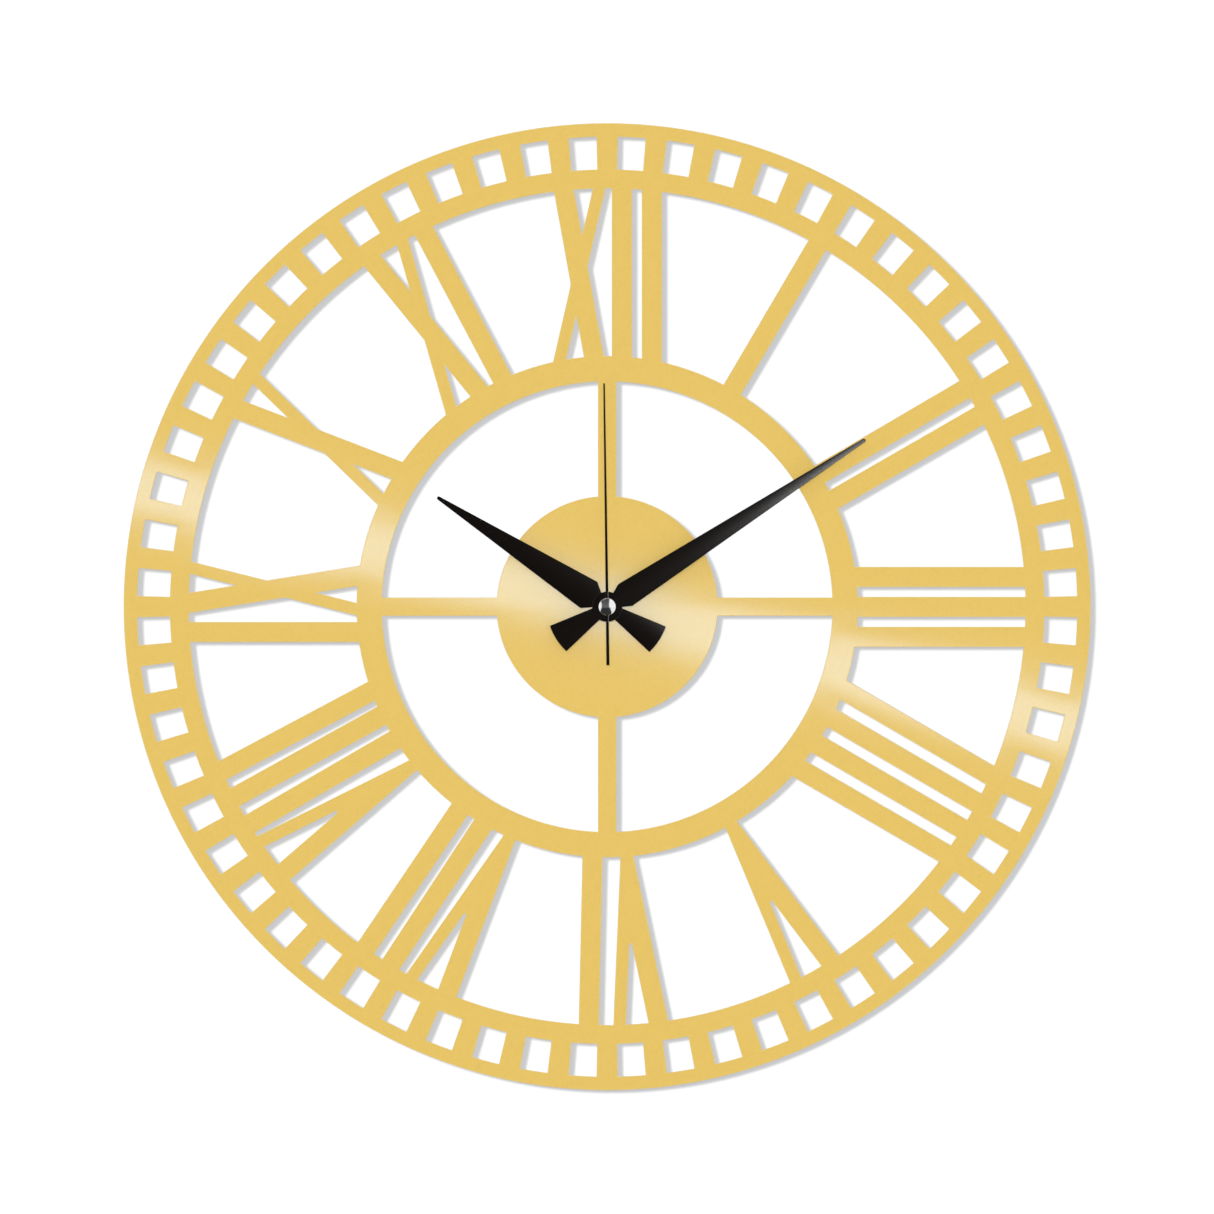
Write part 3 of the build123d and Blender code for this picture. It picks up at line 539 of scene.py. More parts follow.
# Motor: a two-pole rotor magnet between the arms of the stator plate, and the coil on its steel
# core. The bobbin is moulded, and the winding is enamelled copper wire laid in close turns.
BLANK_EDGE = 0.1 * MM
MAGNET_EDGE = 0.2 * MM
BOBBIN_EDGE = 0.1 * MM
set_softened("core_bar", "coil_core", BLANK_EDGE, steel, "steel", "clock_body")
set_softened("stator_blank", "stator_plate", BLANK_EDGE, steel, "steel", "clock_body")

# Sintered magnet: near black, a gritty pressed surface with dull glints. Its grains are under
# 0.1 mm and are drawn at 0.15 mm.
MAGNET_GRIT = 0.15 * MM
GRIT_DEPTH = 0.03 * MM
magnet, tree, shader, place = new_finish("sintered_magnet", {"Metallic": 0.6, "Roughness": 0.55})
grit = add_node(
    tree, "ShaderNodeTexVoronoi", values={"Scale": 1 / MAGNET_GRIT}, links={"Vector": place}
)
tone = add_node(
    tree,
    "ShaderNodeMix",
    {"data_type": "RGBA"},
    {6: linear("#2A2A2D"), 7: linear("#4A4A4E")},
    {"Factor": grit.outputs["Distance"]},
)
relief = add_node(
    tree,
    "ShaderNodeBump",
    values={"Strength": 0.4, "Distance": GRIT_DEPTH},
    links={"Height": grit.outputs["Distance"]},
)
join(tree, shader, {"Base Color": tone.outputs[2], "Normal": relief.outputs[0]})
set_softened("magnet_drum", "rotor_magnet", MAGNET_EDGE, magnet, "magnet", "rotor")
set_softened("bobbin_moulding", "coil_bobbin", BOBBIN_EDGE, acetal, "bobbin_plastic", "clock_body")

# Enamelled copper: orange-brown metal under a clear amber varnish, glossy, a shade darker in
# places.
VARNISH_PATCH = 1.5 * MM
copper = cloudy_finish(
    "enamelled_copper_wire",
    {
        "Metallic": 0.9,
        "Roughness": 0.35,
        "Coat Weight": 0.8,
        "Coat Roughness": 0.1,
        "Coat Tint": linear("#F2C078"),
    },
    {"Scale": 1 / VARNISH_PATCH, "Detail": 3.0},
    ("#C8733A", "#9C4E22"),
)

# The wire is about 0.05 mm thick on a real coil and is drawn at 0.3 mm so that its turns show. The
# turns below the outer layer are one ring, which reaches into that layer.
WIRE = 0.3 * MM
WIRE_SIDES = 6.0
COIL_RADIUS = 3.2 * MM
PACKED_RADIUS = COIL_RADIUS - 0.8 * WIRE
PACKED_EDGE = 0.1 * MM
BOBBIN_RADIUS = 2.0 * MM
coil_low, coil_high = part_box("coil_winding")
coil_middle = (coil_low + coil_high) / 2
coil_length = coil_high.z - coil_low.z
upright = Matrix.Translation((coil_middle.x, coil_middle.y, coil_low.z))
winding = grown(
    "coil_turns",
    helix,
    {
        "Radius": COIL_RADIUS - WIRE / 2,
        "Pitch": WIRE,
        "Length": coil_length - 2 * WIRE,
        "Thickness": WIRE / 2,
        "Sides": WIRE_SIDES,
    },
)
winding.transform(upright @ Matrix.Translation((0, 0, WIRE)))
packed = turned(
    [
        (BOBBIN_RADIUS, 0.0),
        (PACKED_RADIUS, 0.0),
        (PACKED_RADIUS, coil_length),
        (BOBBIN_RADIUS, coil_length),
    ],
    upright,
    PACKED_EDGE,
)
set_piece("coil_inner_turns", packed, copper, "copper_wire", "clock_body", "coil_winding")
set_piece("coil_outer_turns", winding, copper, "copper_wire", "clock_body")


# Circuit board: glass-fibre board with green lacquer over copper tracks, dropped on two posts of
# the case. The quartz crystal lies on it in a plated can and the chip is sealed under cast resin.
BOARD_EDGE = 0.06 * MM
CRYSTAL_EDGE = 0.35 * MM

# Green lacquer over tracks: glossy, paler green where a copper track 0.8 mm wide lies under it. The
# diagonal bands of a Wave node repeat every tenth of pi times the root of 2.
TRACK = 0.8 * MM
TRACK_DEPTH = 0.04 * MM
lacquer, tree, shader, place = new_finish("green_lacquered_board", {"IOR": 1.55, "Roughness": 0.3})
tracks = add_node(
    tree,
    "ShaderNodeTexWave",
    {"wave_type": "BANDS", "bands_direction": "DIAGONAL"},
    {
        "Scale": math.pi * math.sqrt(2) / 10 / (2 * TRACK),
        "Distortion": 3.0,
        "Detail": 0.0,
        "Detail Scale": 0.5,
    },
    {"Vector": place},
)
cut = add_node(
    tree,
    "ShaderNodeMapRange",
    values={"From Min": 0.45, "From Max": 0.55},
    links={"Value": tracks.outputs["Fac"]},
)
tone = add_node(
    tree,
    "ShaderNodeMix",
    {"data_type": "RGBA"},
    {6: linear("#1E4F33"), 7: linear("#3A7A4A")},
    {"Factor": cut.outputs[0]},
)
relief = add_node(
    tree,
    "ShaderNodeBump",
    values={"Strength": 0.3, "Distance": TRACK_DEPTH},
    links={"Height": cut.outputs[0]},
)
join(tree, shader, {"Base Color": tone.outputs[2], "Normal": relief.outputs[0]})
set_softened("board_panel", "circuit_board", BOARD_EDGE, lacquer, "board", "clock_body")

# Nickel plate: pale warm grey metal, smooth, with faint wipe marks.
WIPE = 2 * MM
nickel = cloudy_finish(
    "nickel_plate",
    {"Metallic": 1.0},
    {"Scale": 1 / WIPE, "Detail": 4.0},
    ("#DAD8D2", "#C2BFB6"),
    dullness=(0.14, 0.3),
)
set_softened("crystal_tube", "quartz_crystal", CRYSTAL_EDGE, nickel, "crystal_can", "clock_body")

# Cast resin: black, glossy, slightly uneven where it flowed and set.
SWELL = 1.2 * MM
SWELL_DEPTH = 0.1 * MM
resin = cloudy_finish(
    "cast_black_resin",
    {"IOR": 1.55, "Roughness": 0.22},
    {"Scale": 1 / SWELL, "Detail": 2.0},
    ("#101112", "#1C1C1E"),
    relief=(0.2, SWELL_DEPTH),
)
dress("chip_cap", resin)


# Battery contacts: strips of spring steel, nickel plated, that run from the bay up to the board.
# Each has a dimple pressed out towards the end of the cell.
CONTACT_EDGE = 0.08 * MM
for node in ("positive_contact", "negative_contact"):
    set_softened(node + "_strip", node, CONTACT_EDGE, nickel, "contact_strip", "clock_body")


# Rear cover: a flat ABS plate that closes the wheel space, snapped in by four lugs. It has the
# round well of the setting knob, with a raised arrow beside it that shows which way to turn.
COVER_EDGE = 0.2 * MM
BACK_FACE = 0.02 * MM
ARROW_RADIUS = 8.6 * MM
ARROW_HALF_WIDTH = 0.45 * MM
ARROW_HEAD = 1.2 * MM
ARROW_POINT = 2.04 * MM
ARROW_HEIGHT = 0.12 * MM
ARROW_FROM = math.radians(115)
ARROW_TO = math.radians(205)
ARROW_STEPS = 18
knob_low, knob_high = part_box("setting_knob")
knob_middle = (knob_low + knob_high) / 2


def at_back(edge):
    return all(v.co.y > -BACK_FACE for v in edge.verts)


def around_knob(radius, turn):
    return knob_middle.x + radius * math.cos(turn), knob_middle.z + radius * math.sin(turn)


cover_solid = softened_copy("rear_cover", COVER_EDGE, at_back)
bend = [ARROW_FROM + (ARROW_TO - ARROW_FROM) * n / ARROW_STEPS for n in range(ARROW_STEPS + 1)]
arrow_outline = [
    *[around_knob(ARROW_RADIUS - ARROW_HALF_WIDTH, turn) for turn in bend],
    around_knob(ARROW_RADIUS - ARROW_HEAD, ARROW_TO),
    around_knob(ARROW_RADIUS, ARROW_TO + ARROW_POINT / ARROW_RADIUS),
    around_knob(ARROW_RADIUS + ARROW_HEAD, ARROW_TO),
    *[around_knob(ARROW_RADIUS + ARROW_HALF_WIDTH, turn) for turn in reversed(bend)],
]
arrow_back = [cover_solid.verts.new((x, ARROW_HEIGHT, z)) for x, z in arrow_outline]
arrow_root = [cover_solid.verts.new((x, -ARROW_HEIGHT, z)) for x, z in arrow_outline]
arrow_faces = [cover_solid.faces.new(arrow_back), cover_solid.faces.new(arrow_root)]
for n in range(len(arrow_outline)):
    after = (n + 1) % len(arrow_outline)
    side = (arrow_back[n], arrow_back[after], arrow_root[after], arrow_root[n])
    arrow_faces.append(cover_solid.faces.new(side))
bmesh.ops.recalc_face_normals(cover_solid, faces=arrow_faces)
cover = set_piece(
    "cover_moulding", cover_solid, case_abs, "case_plastic", "clock_body", "rear_cover"
)


# Setting knob: a small black ABS wheel with a gripped rim, pressed on the setting pinion's shaft
# and turned with a fingertip.
KNOB_EDGE = 0.18 * MM

# Polished black ABS: the mould is smooth here, so it shines more, with fine scuffs from fingers.
SCUFF = 0.8 * MM
knob_abs, tree, shader, place = new_finish("smooth_black_abs", {"IOR": 1.54})
scuff = add_node(
    tree,
    "ShaderNodeTexNoise",
    values={"Scale": 1 / SCUFF, "Detail": 6.0, "Distortion": 0.8},
    links={"Vector": place},
)
edge = add_node(tree, "ShaderNodeAttribute", {"attribute_name": "edge"})
rub = add_node(
    tree,
    "ShaderNodeMath",
    {"operation": "MULTIPLY"},
    links={0: edge.outputs["Fac"], 1: scuff.outputs["Fac"]},
)
tone = add_node(
    tree,
    "ShaderNodeMix",
    {"data_type": "RGBA"},
    {6: linear("#232426"), 7: linear("#5A5B5D")},
    {"Factor": rub.outputs[0]},
)
dullness = add_node(
    tree,
    "ShaderNodeMapRange",
    values={"To Min": 0.25, "To Max": 0.42},
    links={"Value": scuff.outputs["Fac"]},
)
join(tree, shader, {"Base Color": tone.outputs[2], "Roughness": dullness.outputs[0]})
set_softened("knob_moulding", "setting_knob", KNOB_EDGE, knob_abs, "knob_plastic", "setting")


# Battery: one AA cell, a drawn steel can in a shrunk plastic jacket that turns over both ends, with
# a plated nub at the plus end and a plated disc at the other. The jacket is plain.
CELL_RADIUS = 7.1 * MM
JACKET = 0.12 * MM
JACKET_LIP = 1.3 * MM
JACKET_TUCK = 0.1 * MM
NUB_RADIUS = 2.6 * MM
NUB_LENGTH = 1.2 * MM
NUB_CORNER = 0.25 * MM
NUB_FOOT = (1.3 * MM, 0.5 * MM)
MINUS_RADIUS = 4.6 * MM
MINUS_STEP = 0.4 * MM
cell_low, cell_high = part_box("battery_cell")
cell_middle = (cell_low + cell_high) / 2
cell_length = cell_high.x - cell_low.x
shell_length = cell_length - NUB_LENGTH
inner = CELL_RADIUS - JACKET
lip = CELL_RADIUS - JACKET_LIP
along_cell = Matrix.Translation((cell_low.x, cell_middle.y, cell_middle.z)) @ Matrix.Rotation(
    math.radians(90), 4, "Y"
)

# Both outlines run from the minus end to the plus end and round each corner in two or three short
# steps; the jacket's comes back along its inside.
can_solid = turned(
    [
        (0.0, JACKET * 2),
        (MINUS_RADIUS, JACKET * 2),
        (MINUS_RADIUS + MINUS_STEP, JACKET),
        (inner - 0.5 * MM, JACKET),
        (inner, 0.7 * MM),
        (inner, shell_length - 0.9 * MM),
        (inner - 0.7 * MM, shell_length - JACKET),
        (NUB_RADIUS + NUB_FOOT[0], shell_length - JACKET),
        (NUB_RADIUS + NUB_FOOT[1], shell_length - 3 * JACKET),
        (NUB_RADIUS, shell_length),
        (NUB_RADIUS, cell_length - NUB_CORNER),
        (NUB_RADIUS - NUB_CORNER, cell_length),
        (0.0, cell_length),
    ],
    along_cell,
)
jacket_solid = turned(
    [
        (lip, JACKET),
        (lip, 0.0),
        (CELL_RADIUS - 0.55 * MM, 0.0),
        (CELL_RADIUS - 0.16 * MM, 0.16 * MM),
        (CELL_RADIUS, 0.55 * MM),
        (CELL_RADIUS, shell_length - 0.75 * MM),
        (CELL_RADIUS - 0.2 * MM, shell_length - 0.2 * MM),
        (CELL_RADIUS - 0.75 * MM, shell_length),
        (lip, shell_length),
        (lip, shell_length - JACKET),
        (inner - JACKET_TUCK, shell_length - 0.8 * MM),
        (inner - JACKET_TUCK, 0.6 * MM),
    ],
    along_cell,
)

# Shrink film: satin slate blue with a plain pale band at the plus end, slightly rippled where it
# shrank.
BAND_WIDTH = 9.0 * MM
BAND_BLUR = 0.1 * MM
RIPPLE = 1.8 * MM
RIPPLE_DEPTH = 0.05 * MM
film, tree, shader, place = new_finish("printed_shrink_film", {"IOR": 1.5})
parts = add_node(tree, "ShaderNodeSeparateXYZ", links={"Vector": place})
band_start = cell_low.x + shell_length - BAND_WIDTH
band = add_node(
    tree,
    "ShaderNodeMapRange",
    values={"From Min": band_start, "From Max": band_start + BAND_BLUR},
    links={"Value": parts.outputs["X"]},
)
ripple = add_node(
    tree,
    "ShaderNodeTexNoise",
    values={"Scale": 1 / RIPPLE, "Detail": 4.0},
    links={"Vector": place},
)
ground = add_node(
    tree,
    "ShaderNodeMix",
    {"data_type": "RGBA"},
    {6: linear("#3E5566"), 7: linear("#48606F")},
    {"Factor": ripple.outputs["Fac"]},
)
tone = add_node(
    tree,
    "ShaderNodeMix",
    {"data_type": "RGBA"},
    {7: linear("#C9CDCF")},
    {"Factor": band.outputs[0], 6: ground.outputs[2]},
)
dullness = add_node(
    tree,
    "ShaderNodeMapRange",
    values={"To Min": 0.28, "To Max": 0.45},
    links={"Value": ripple.outputs["Fac"]},
)
relief = add_node(
    tree,
    "ShaderNodeBump",
    values={"Strength": 0.12, "Distance": RIPPLE_DEPTH},
    links={"Height": ripple.outputs["Fac"]},
)
join(tree, shader, {"Base Color": tone.outputs[2], "Roughness": dullness.outputs[0]})
join(tree, shader, {"Normal": relief.outputs[0]})
set_piece("cell_can", can_solid, nickel, "cell", "battery", "battery_cell")
set_piece("cell_jacket", jacket_solid, film, "cell", "battery")


# Sealing washer: a ring of soft black rubber, punched from sheet. It lies between the case and the
# dial and is squeezed by the nut.
SEAL_EDGE = 0.25 * MM

# Vulcanised rubber: deep matt black with a grey bloom and fine mould grit of about 0.2 mm.
BLOOM = 3 * MM
RUBBER_GRIT = 0.2 * MM
RUBBER_DEPTH = 0.04 * MM
rubber, tree, shader, place = new_finish("vulcanised_rubber", {"IOR": 1.52, "Roughness": 0.85})
bloom = add_node(
    tree,
    "ShaderNodeTexNoise",
    values={"Scale": 1 / BLOOM, "Detail": 5.0},
    links={"Vector": place},
)
grit = add_node(
    tree,
    "ShaderNodeTexNoise",
    values={"Scale": 1 / RUBBER_GRIT, "Detail": 1.0},
    links={"Vector": place},
)
tone = add_node(
    tree,
    "ShaderNodeMix",
    {"data_type": "RGBA"},
    {6: linear("#141414"), 7: linear("#2B2B2B")},
    {"Factor": bloom.outputs["Fac"]},
)
relief = add_node(
    tree,
    "ShaderNodeBump",
    values={"Strength": 0.3, "Distance": RUBBER_DEPTH},
    links={"Height": grit.outputs["Fac"]},
)
join(tree, shader, {"Base Color": tone.outputs[2], "Normal": relief.outputs[0]})

# How a flat piece is rolled over at its cut edges: the steps of each rounding, the wear on the cut
# side, a limit for corners that are very sharp, and how near a point on a face or an arc is to it.
ROLL_STEPS = 3
CUT_WEAR = 0.33
MITRE_LIMIT = 0.2
ON_FACE = 0.01 * MM
ON_ARC = 0.002 * MM


def rounded_sheet(node, rounding):
    """A copy of a flat CAD piece with its cut edges rolled over on both faces and a point more on
    each step of its arcs. The layer edge is 1 on the rounding and less on the cut side."""
    low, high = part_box(node)
    source = bmesh.new()
    source.from_mesh(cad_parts[node].data)
    bmesh.ops.remove_doubles(source, verts=source.verts, dist=WELD)

    def in_front(item):
        return all(abs(v.co.y - low.y) < ON_FACE for v in item.verts)

    arcs = []
    for edge in source.edges:
        ends = [math.hypot(v.co.x, v.co.z) for v in edge.verts]
        cut = any(abs(f.normal.y) < 0.5 for f in edge.link_faces)
        if cut and in_front(edge) and abs(ends[0] - ends[1]) < ON_ARC:
            arcs.append((edge, ends[0]))
    for edge, radius in arcs:
        middle = bmesh.utils.edge_split(edge, edge.verts[0], 0.5)[1]
        stretch = radius / math.hypot(middle.co.x, middle.co.z)
        middle.co = (middle.co.x * stretch, middle.co.y, middle.co.z * stretch)
    front = [face for face in source.faces if in_front(face)]
    seen = {}
    for face in front:
        for edge in face.edges:
            seen[edge] = seen.get(edge, 0) + 1
    outline = [
        (loop.vert, loop.link_loop_next.vert)
        for face in front
        for loop in face.loops
        if seen[loop.edge] == 1
    ]
    inward = {}
    for start, end in outline:
        run = (end.co - start.co).normalized()
        for corner in (start, end):
            inward.setdefault(corner, []).append(Vector((-run.z, 0, run.x)))
    shift = {
        corner: (sides[0] + sides[1]) / max(1 + sides[0].dot(sides[1]), MITRE_LIMIT)
        for corner, sides in inward.items()
    }
    solid = bmesh.new()
    wear = solid.loops.layers.float.new("edge")
    turns = [math.pi / 2 * n / ROLL_STEPS for n in range(ROLL_STEPS + 1)]
    rows = [(rounding * (1 - math.sin(a)), low.y + rounding * (1 - math.cos(a))) for a in turns]
    rows += [(inset, low.y + high.y - depth) for inset, depth in reversed(rows)]
    corners = dict.fromkeys(v for face in front for v in face.verts)
    made = []
    for inset, depth in rows:
        row = {}
        for v in corners:
            spot = v.co + shift.get(v, Vector()) * inset
            row[v] = solid.verts.new((spot.x, depth, spot.z))
        made.append(row)
    for face in front:
        solid.faces.new([made[0][v] for v in face.verts])
        solid.faces.new([made[-1][v] for v in reversed(face.verts)])
    for n, (upper, lower) in enumerate(zip(made, made[1:])):
        for start, end in outline:
            strip = solid.faces.new((upper[end], upper[start], lower[start], lower[end]))
            for loop in strip.loops:
                loop[wear] = CUT_WEAR if n == ROLL_STEPS else 1.0
    loose = [v for v in solid.verts if not v.link_faces]
    bmesh.ops.delete(solid, geom=loose, context="VERTS")
    source.free()
    return solid


seal_solid = rounded_sheet("sealing_washer", SEAL_EDGE)
set_piece("seal_ring", seal_solid, rubber, "seal_rubber", "clock_body", "sealing_washer")


# Dial plate: one disc of 1.5 mm steel sheet, cut through between the numerals and in sixty minute
# windows, then powder coated in a pale gold. The coat flows back a little from the cut edges.
DIAL_EDGE = 0.3 * MM

# Gold powder coat: pale satin gold, fine metal flake, a smooth clear skin that gives a broad soft
# sheen, faint orange peel, and a brighter line where the coat draws thin over an edge. Flakes are
# about 0.04 mm on the real sheet and are drawn at 0.5 mm so that they show.
FLAKE = 0.5 * MM
PEEL = 2.2 * MM
PEEL_DEPTH = 0.03 * MM
gold_coat, tree, shader, place = new_finish(
    "gold_powder_coat",
    {"IOR": 1.5, "Specular IOR Level": 0.1, "Coat Roughness": 0.105, "Coat IOR": 1.5},
)
flake = add_node(
    tree, "ShaderNodeTexVoronoi", values={"Scale": 1 / FLAKE}, links={"Vector": place}
)
peel = add_node(
    tree,
    "ShaderNodeTexNoise",
    values={"Scale": 1 / PEEL, "Detail": 2.0},
    links={"Vector": place},
)
tone = add_node(
    tree,
    "ShaderNodeMix",
    {"data_type": "RGBA"},
    {6: linear("#E9C460"), 7: linear("#EFCB6A")},
    {"Factor": flake.outputs["Color"]},
)
drawn = worn_at_edges(tree, tone.outputs[2], peel.outputs["Fac"], "#F4DE9E")
dullness = add_node(
    tree,
    "ShaderNodeMapRange",
    values={"To Min": 0.48, "To Max": 0.58},
    links={"Value": peel.outputs["Fac"]},
)
edge = add_node(tree, "ShaderNodeAttribute", {"attribute_name": "edge"})
skin = add_node(
    tree,
    "ShaderNodeMapRange",
    values={"From Max": 0.3, "To Min": 1.0, "To Max": 0.0},
    links={"Value": edge.outputs["Fac"]},
)
relief = add_node(
    tree,
    "ShaderNodeBump",
    values={"Strength": 0.15, "Distance": PEEL_DEPTH},
    links={"Height": peel.outputs["Fac"]},
)
join(tree, shader, {"Base Color": drawn, "Roughness": dullness.outputs[0]})
join(tree, shader, {"Coat Weight": skin.outputs[0], "Normal": relief.outputs[0]})
dial_solid = rounded_sheet("dial_plate", DIAL_EDGE)
dial_sheet = set_piece(
    "dial_sheet", dial_solid, gold_coat, "gold_coat", "clock_body", "dial_plate"
)


# Flat washer and nut: turned brass. They clamp the dial on the bush, where the washer keeps the
# nut's corners off the coat, and hide under the hands' hubs.
WASHER_EDGE = 0.12 * MM
NUT_EDGE = 0.3 * MM
washer_solid = rounded_sheet("flat_washer", WASHER_EDGE)
set_piece("washer_ring", washer_solid, brass, "clamp_brass", "clock_body", "flat_washer")
set_softened("nut_hexagon", "hex_nut", NUT_EDGE, brass, "clamp_brass", "clock_body")


# Hands: stamped from thin aluminium, painted satin black and riveted on brass collars that push on
# the tubes of the movement. The hour and minute hands are pointed with a fan-shaped tail, and
# pressing leaves their fronts a little crowned.
HAND_EDGE = 0.16 * MM
COLLAR_EDGE = 0.08 * MM
HAND_CROWN = 3.75
CROWN_STEP = 0.5 * MM

# Satin black paint: warm near-black, soft highlight, very fine spray texture of about 0.3 mm, and
# a thread of grey where the paint is thin on the stamped edge.
SPRAY = 0.3 * MM
SPRAY_DEPTH = 0.02 * MM
PAINT_HAZE = 18 * MM
hand_paint, tree, shader, place = new_finish(
    "satin_black_paint", {"IOR": 1.5, "Specular IOR Level": 0.35}
)
spray = add_node(
    tree,
    "ShaderNodeTexNoise",
    values={"Scale": 1 / SPRAY, "Detail": 2.0},
    links={"Vector": place},
)
haze = add_node(
    tree,
    "ShaderNodeTexNoise",
    values={"Scale": 1 / PAINT_HAZE, "Detail": 3.0},
    links={"Vector": place},
)
tone = add_node(
    tree,
    "ShaderNodeMix",
    {"data_type": "RGBA"},
    {6: linear("#080301"), 7: linear("#0B0502")},
    {"Factor": haze.outputs["Fac"]},
)
drawn = worn_at_edges(tree, tone.outputs[2], spray.outputs["Fac"], "#3A3735")
dullness = add_node(
    tree,
    "ShaderNodeMapRange",
    values={"To Min": 0.13, "To Max": 0.17},
    links={"Value": spray.outputs["Fac"]},
)
relief = add_node(
    tree,
    "ShaderNodeBump",
    values={"Strength": 0.12, "Distance": SPRAY_DEPTH},
    links={"Height": spray.outputs["Fac"]},
)
join(tree, shader, {"Base Color": drawn, "Roughness": dullness.outputs[0]})
join(tree, shader, {"Normal": relief.outputs[0]})


def hand_blade(node, edge):
    """A hand with rolled edges and a front that falls off from its middle line, by the crown times
    the square of the distance in metres."""
    solid = rounded_sheet(node, edge)
    low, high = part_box(node)
    middle = (low.y + high.y) / 2
    tip = max((v.co for v in solid.verts), key=lambda place: math.hypot(place.x, place.z))
    side = Vector((tip.z, 0, -tip.x)).normalized()
    half = max(abs(v.co.dot(side)) for v in solid.verts)
    lines = math.ceil(half / CROWN_STEP)
    for n in range(-lines, lines + 1):
        bmesh.ops.bisect_plane(
            solid,
            geom=[*solid.verts, *solid.edges, *solid.faces],
            dist=WELD,
            plane_co=side * CROWN_STEP * n,
            plane_no=side,
        )
    for v in solid.verts:
        if v.co.y < middle:
            v.co.y += HAND_CROWN * v.co.dot(side) ** 2
    return solid


blades = []
for hand in ("hour", "minute"):
    collar_node, hand_node = hand + "_bush", hand + "_hand"
    set_softened(hand + "_collar", collar_node, COLLAR_EDGE, brass, "clamp_brass", hand)
    hand_solid = hand_blade(hand_node, HAND_EDGE)
    blade = set_piece(hand + "_blade", hand_solid, hand_paint, "black_hand", hand, hand_node)
    blades.append(blade)


# Second hand: a narrow stamped strip, painted as the others, on a brass collet that pushes on the
# seconds arbor.
SECOND_EDGE = 0.1 * MM
second_solid = hand_blade("second_hand", SECOND_EDGE)
set_piece("second_strip", second_solid, hand_paint, "black_hand", "second", "second_hand")

# Beside the collet, above and below it, a narrow raised bar of bare steel lies along the strip's
# right
# edge. It is a painted highlight: the bright metal stands in for the light caught along that edge.
HIGHLIGHT_BAR_OFFSET = 0.52 * MM
HIGHLIGHT_BAR_WIDTH = 0.26 * MM
HIGHLIGHT_BAR_HEIGHT = 0.1 * MM
HIGHLIGHT_BAR_EDGE = 0.05 * MM
HIGHLIGHT_BAR_REACH = (4.0 * MM, 8.0 * MM)
strip_front = -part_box("second_hand")[0].y
strip_points = [v.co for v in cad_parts["second_hand"].data.vertices]
strip_tip = max(strip_points, key=lambda place: place.z)
highlight_bars_solid = bmesh.new()
for side in (-1, 1):
    raised_bar(
        highlight_bars_solid,
        HIGHLIGHT_BAR_OFFSET,
        side * sum(HIGHLIGHT_BAR_REACH) / 2,
        HIGHLIGHT_BAR_WIDTH,
        HIGHLIGHT_BAR_REACH[1] - HIGHLIGHT_BAR_REACH[0],
        strip_front - HIGHLIGHT_BAR_HEIGHT,
        strip_front + HIGHLIGHT_BAR_HEIGHT,
        HIGHLIGHT_BAR_EDGE,
    )
highlight_bars_solid.transform(Matrix.Rotation(math.atan2(strip_tip.x, strip_tip.z), 4, "Y"))
# The steel bars are the painted highlight along the second hand's right edge.
set_piece("second_painted_highlight", highlight_bars_solid, steel, "steel", "second")
set_softened("collet_ring", "second_collet", COLLAR_EDGE, brass, "clamp_brass", "second")


# Dome cap: drawn from thin brass, polished and bright plated, pressed over the collet so that it
# covers the middle of the second hand.
CAP_RADIUS = 4.45 * MM
CAP_HEIGHT = 2.6 * MM
CAP_SIDE = 0.9 * MM
CAP_EDGE = 0.1 * MM
CAP_STEPS = 24
CAP_SIDES = 96
cap_back = -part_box("second_cap")[1].y
cap_rise = CAP_HEIGHT - CAP_SIDE
cap_ball = (CAP_RADIUS**2 + cap_rise**2) / (2 * cap_rise)
cap_sweep = math.asin(CAP_RADIUS / cap_ball)
cap_centre = cap_back + CAP_HEIGHT - cap_ball
cap_outline = [(0.0, cap_back), (CAP_RADIUS, cap_back)]
for n in range(CAP_STEPS + 1):
    lean = cap_sweep * (1 - n / CAP_STEPS)
    radius = cap_ball * math.sin(lean) if n < CAP_STEPS else 0.0
    cap_outline.append((radius, cap_centre + cap_ball * math.cos(lean)))

# Bright plating: a clear mirror of the room, silver, with the faintest haze of handling.
HANDLING = 1.5 * MM
bright = cloudy_finish(
    "polished_bright_plate",
    {"Metallic": 1.0},
    {"Scale": 1 / HANDLING, "Detail": 4.0},
    ("#F6F6F7", "#ECECEE"),
    dullness=(0.1, 0.2),
)
cap_solid = turned(cap_outline, TO_FRONT, CAP_EDGE, CAP_SIDES)
set_piece("cap_dome", cap_solid, bright, "bright_cap", "second", "second_cap")


# Room: a white wall just behind the clock and a pale floor below it. Both show to the camera, in
# mirrors and through glass, and let all other light pass, so the clock is lit evenly all round.
WALL_GAP = 0.4 * MM
REACH = 40.0
FLOOR_HEIGHT = -0.75
WALL_WHITE = 0.1
WALL_GLOW = (0.485, 0.497, 0.517)
FLOOR_WHITE = 0.8
FLOOR_GLOW = (0.35, 0.35, 0.35)


def seen_directly(tree):
    """1 for a ray from the camera, also by way of a mirror or glass, and 0 for other light."""
    path = add_node(tree, "ShaderNodeLightPath")
    either = add_node(
        tree,
        "ShaderNodeMath",
        {"operation": "MAXIMUM"},
        links={0: path.outputs["Is Camera Ray"], 1: path.outputs["Is Glossy Ray"]},
    )
    any_of = add_node(
        tree,
        "ShaderNodeMath",
        {"operation": "MAXIMUM"},
        links={0: either.outputs[0], 1: path.outputs["Is Transmission Ray"]},
    )
    return any_of.outputs[0]


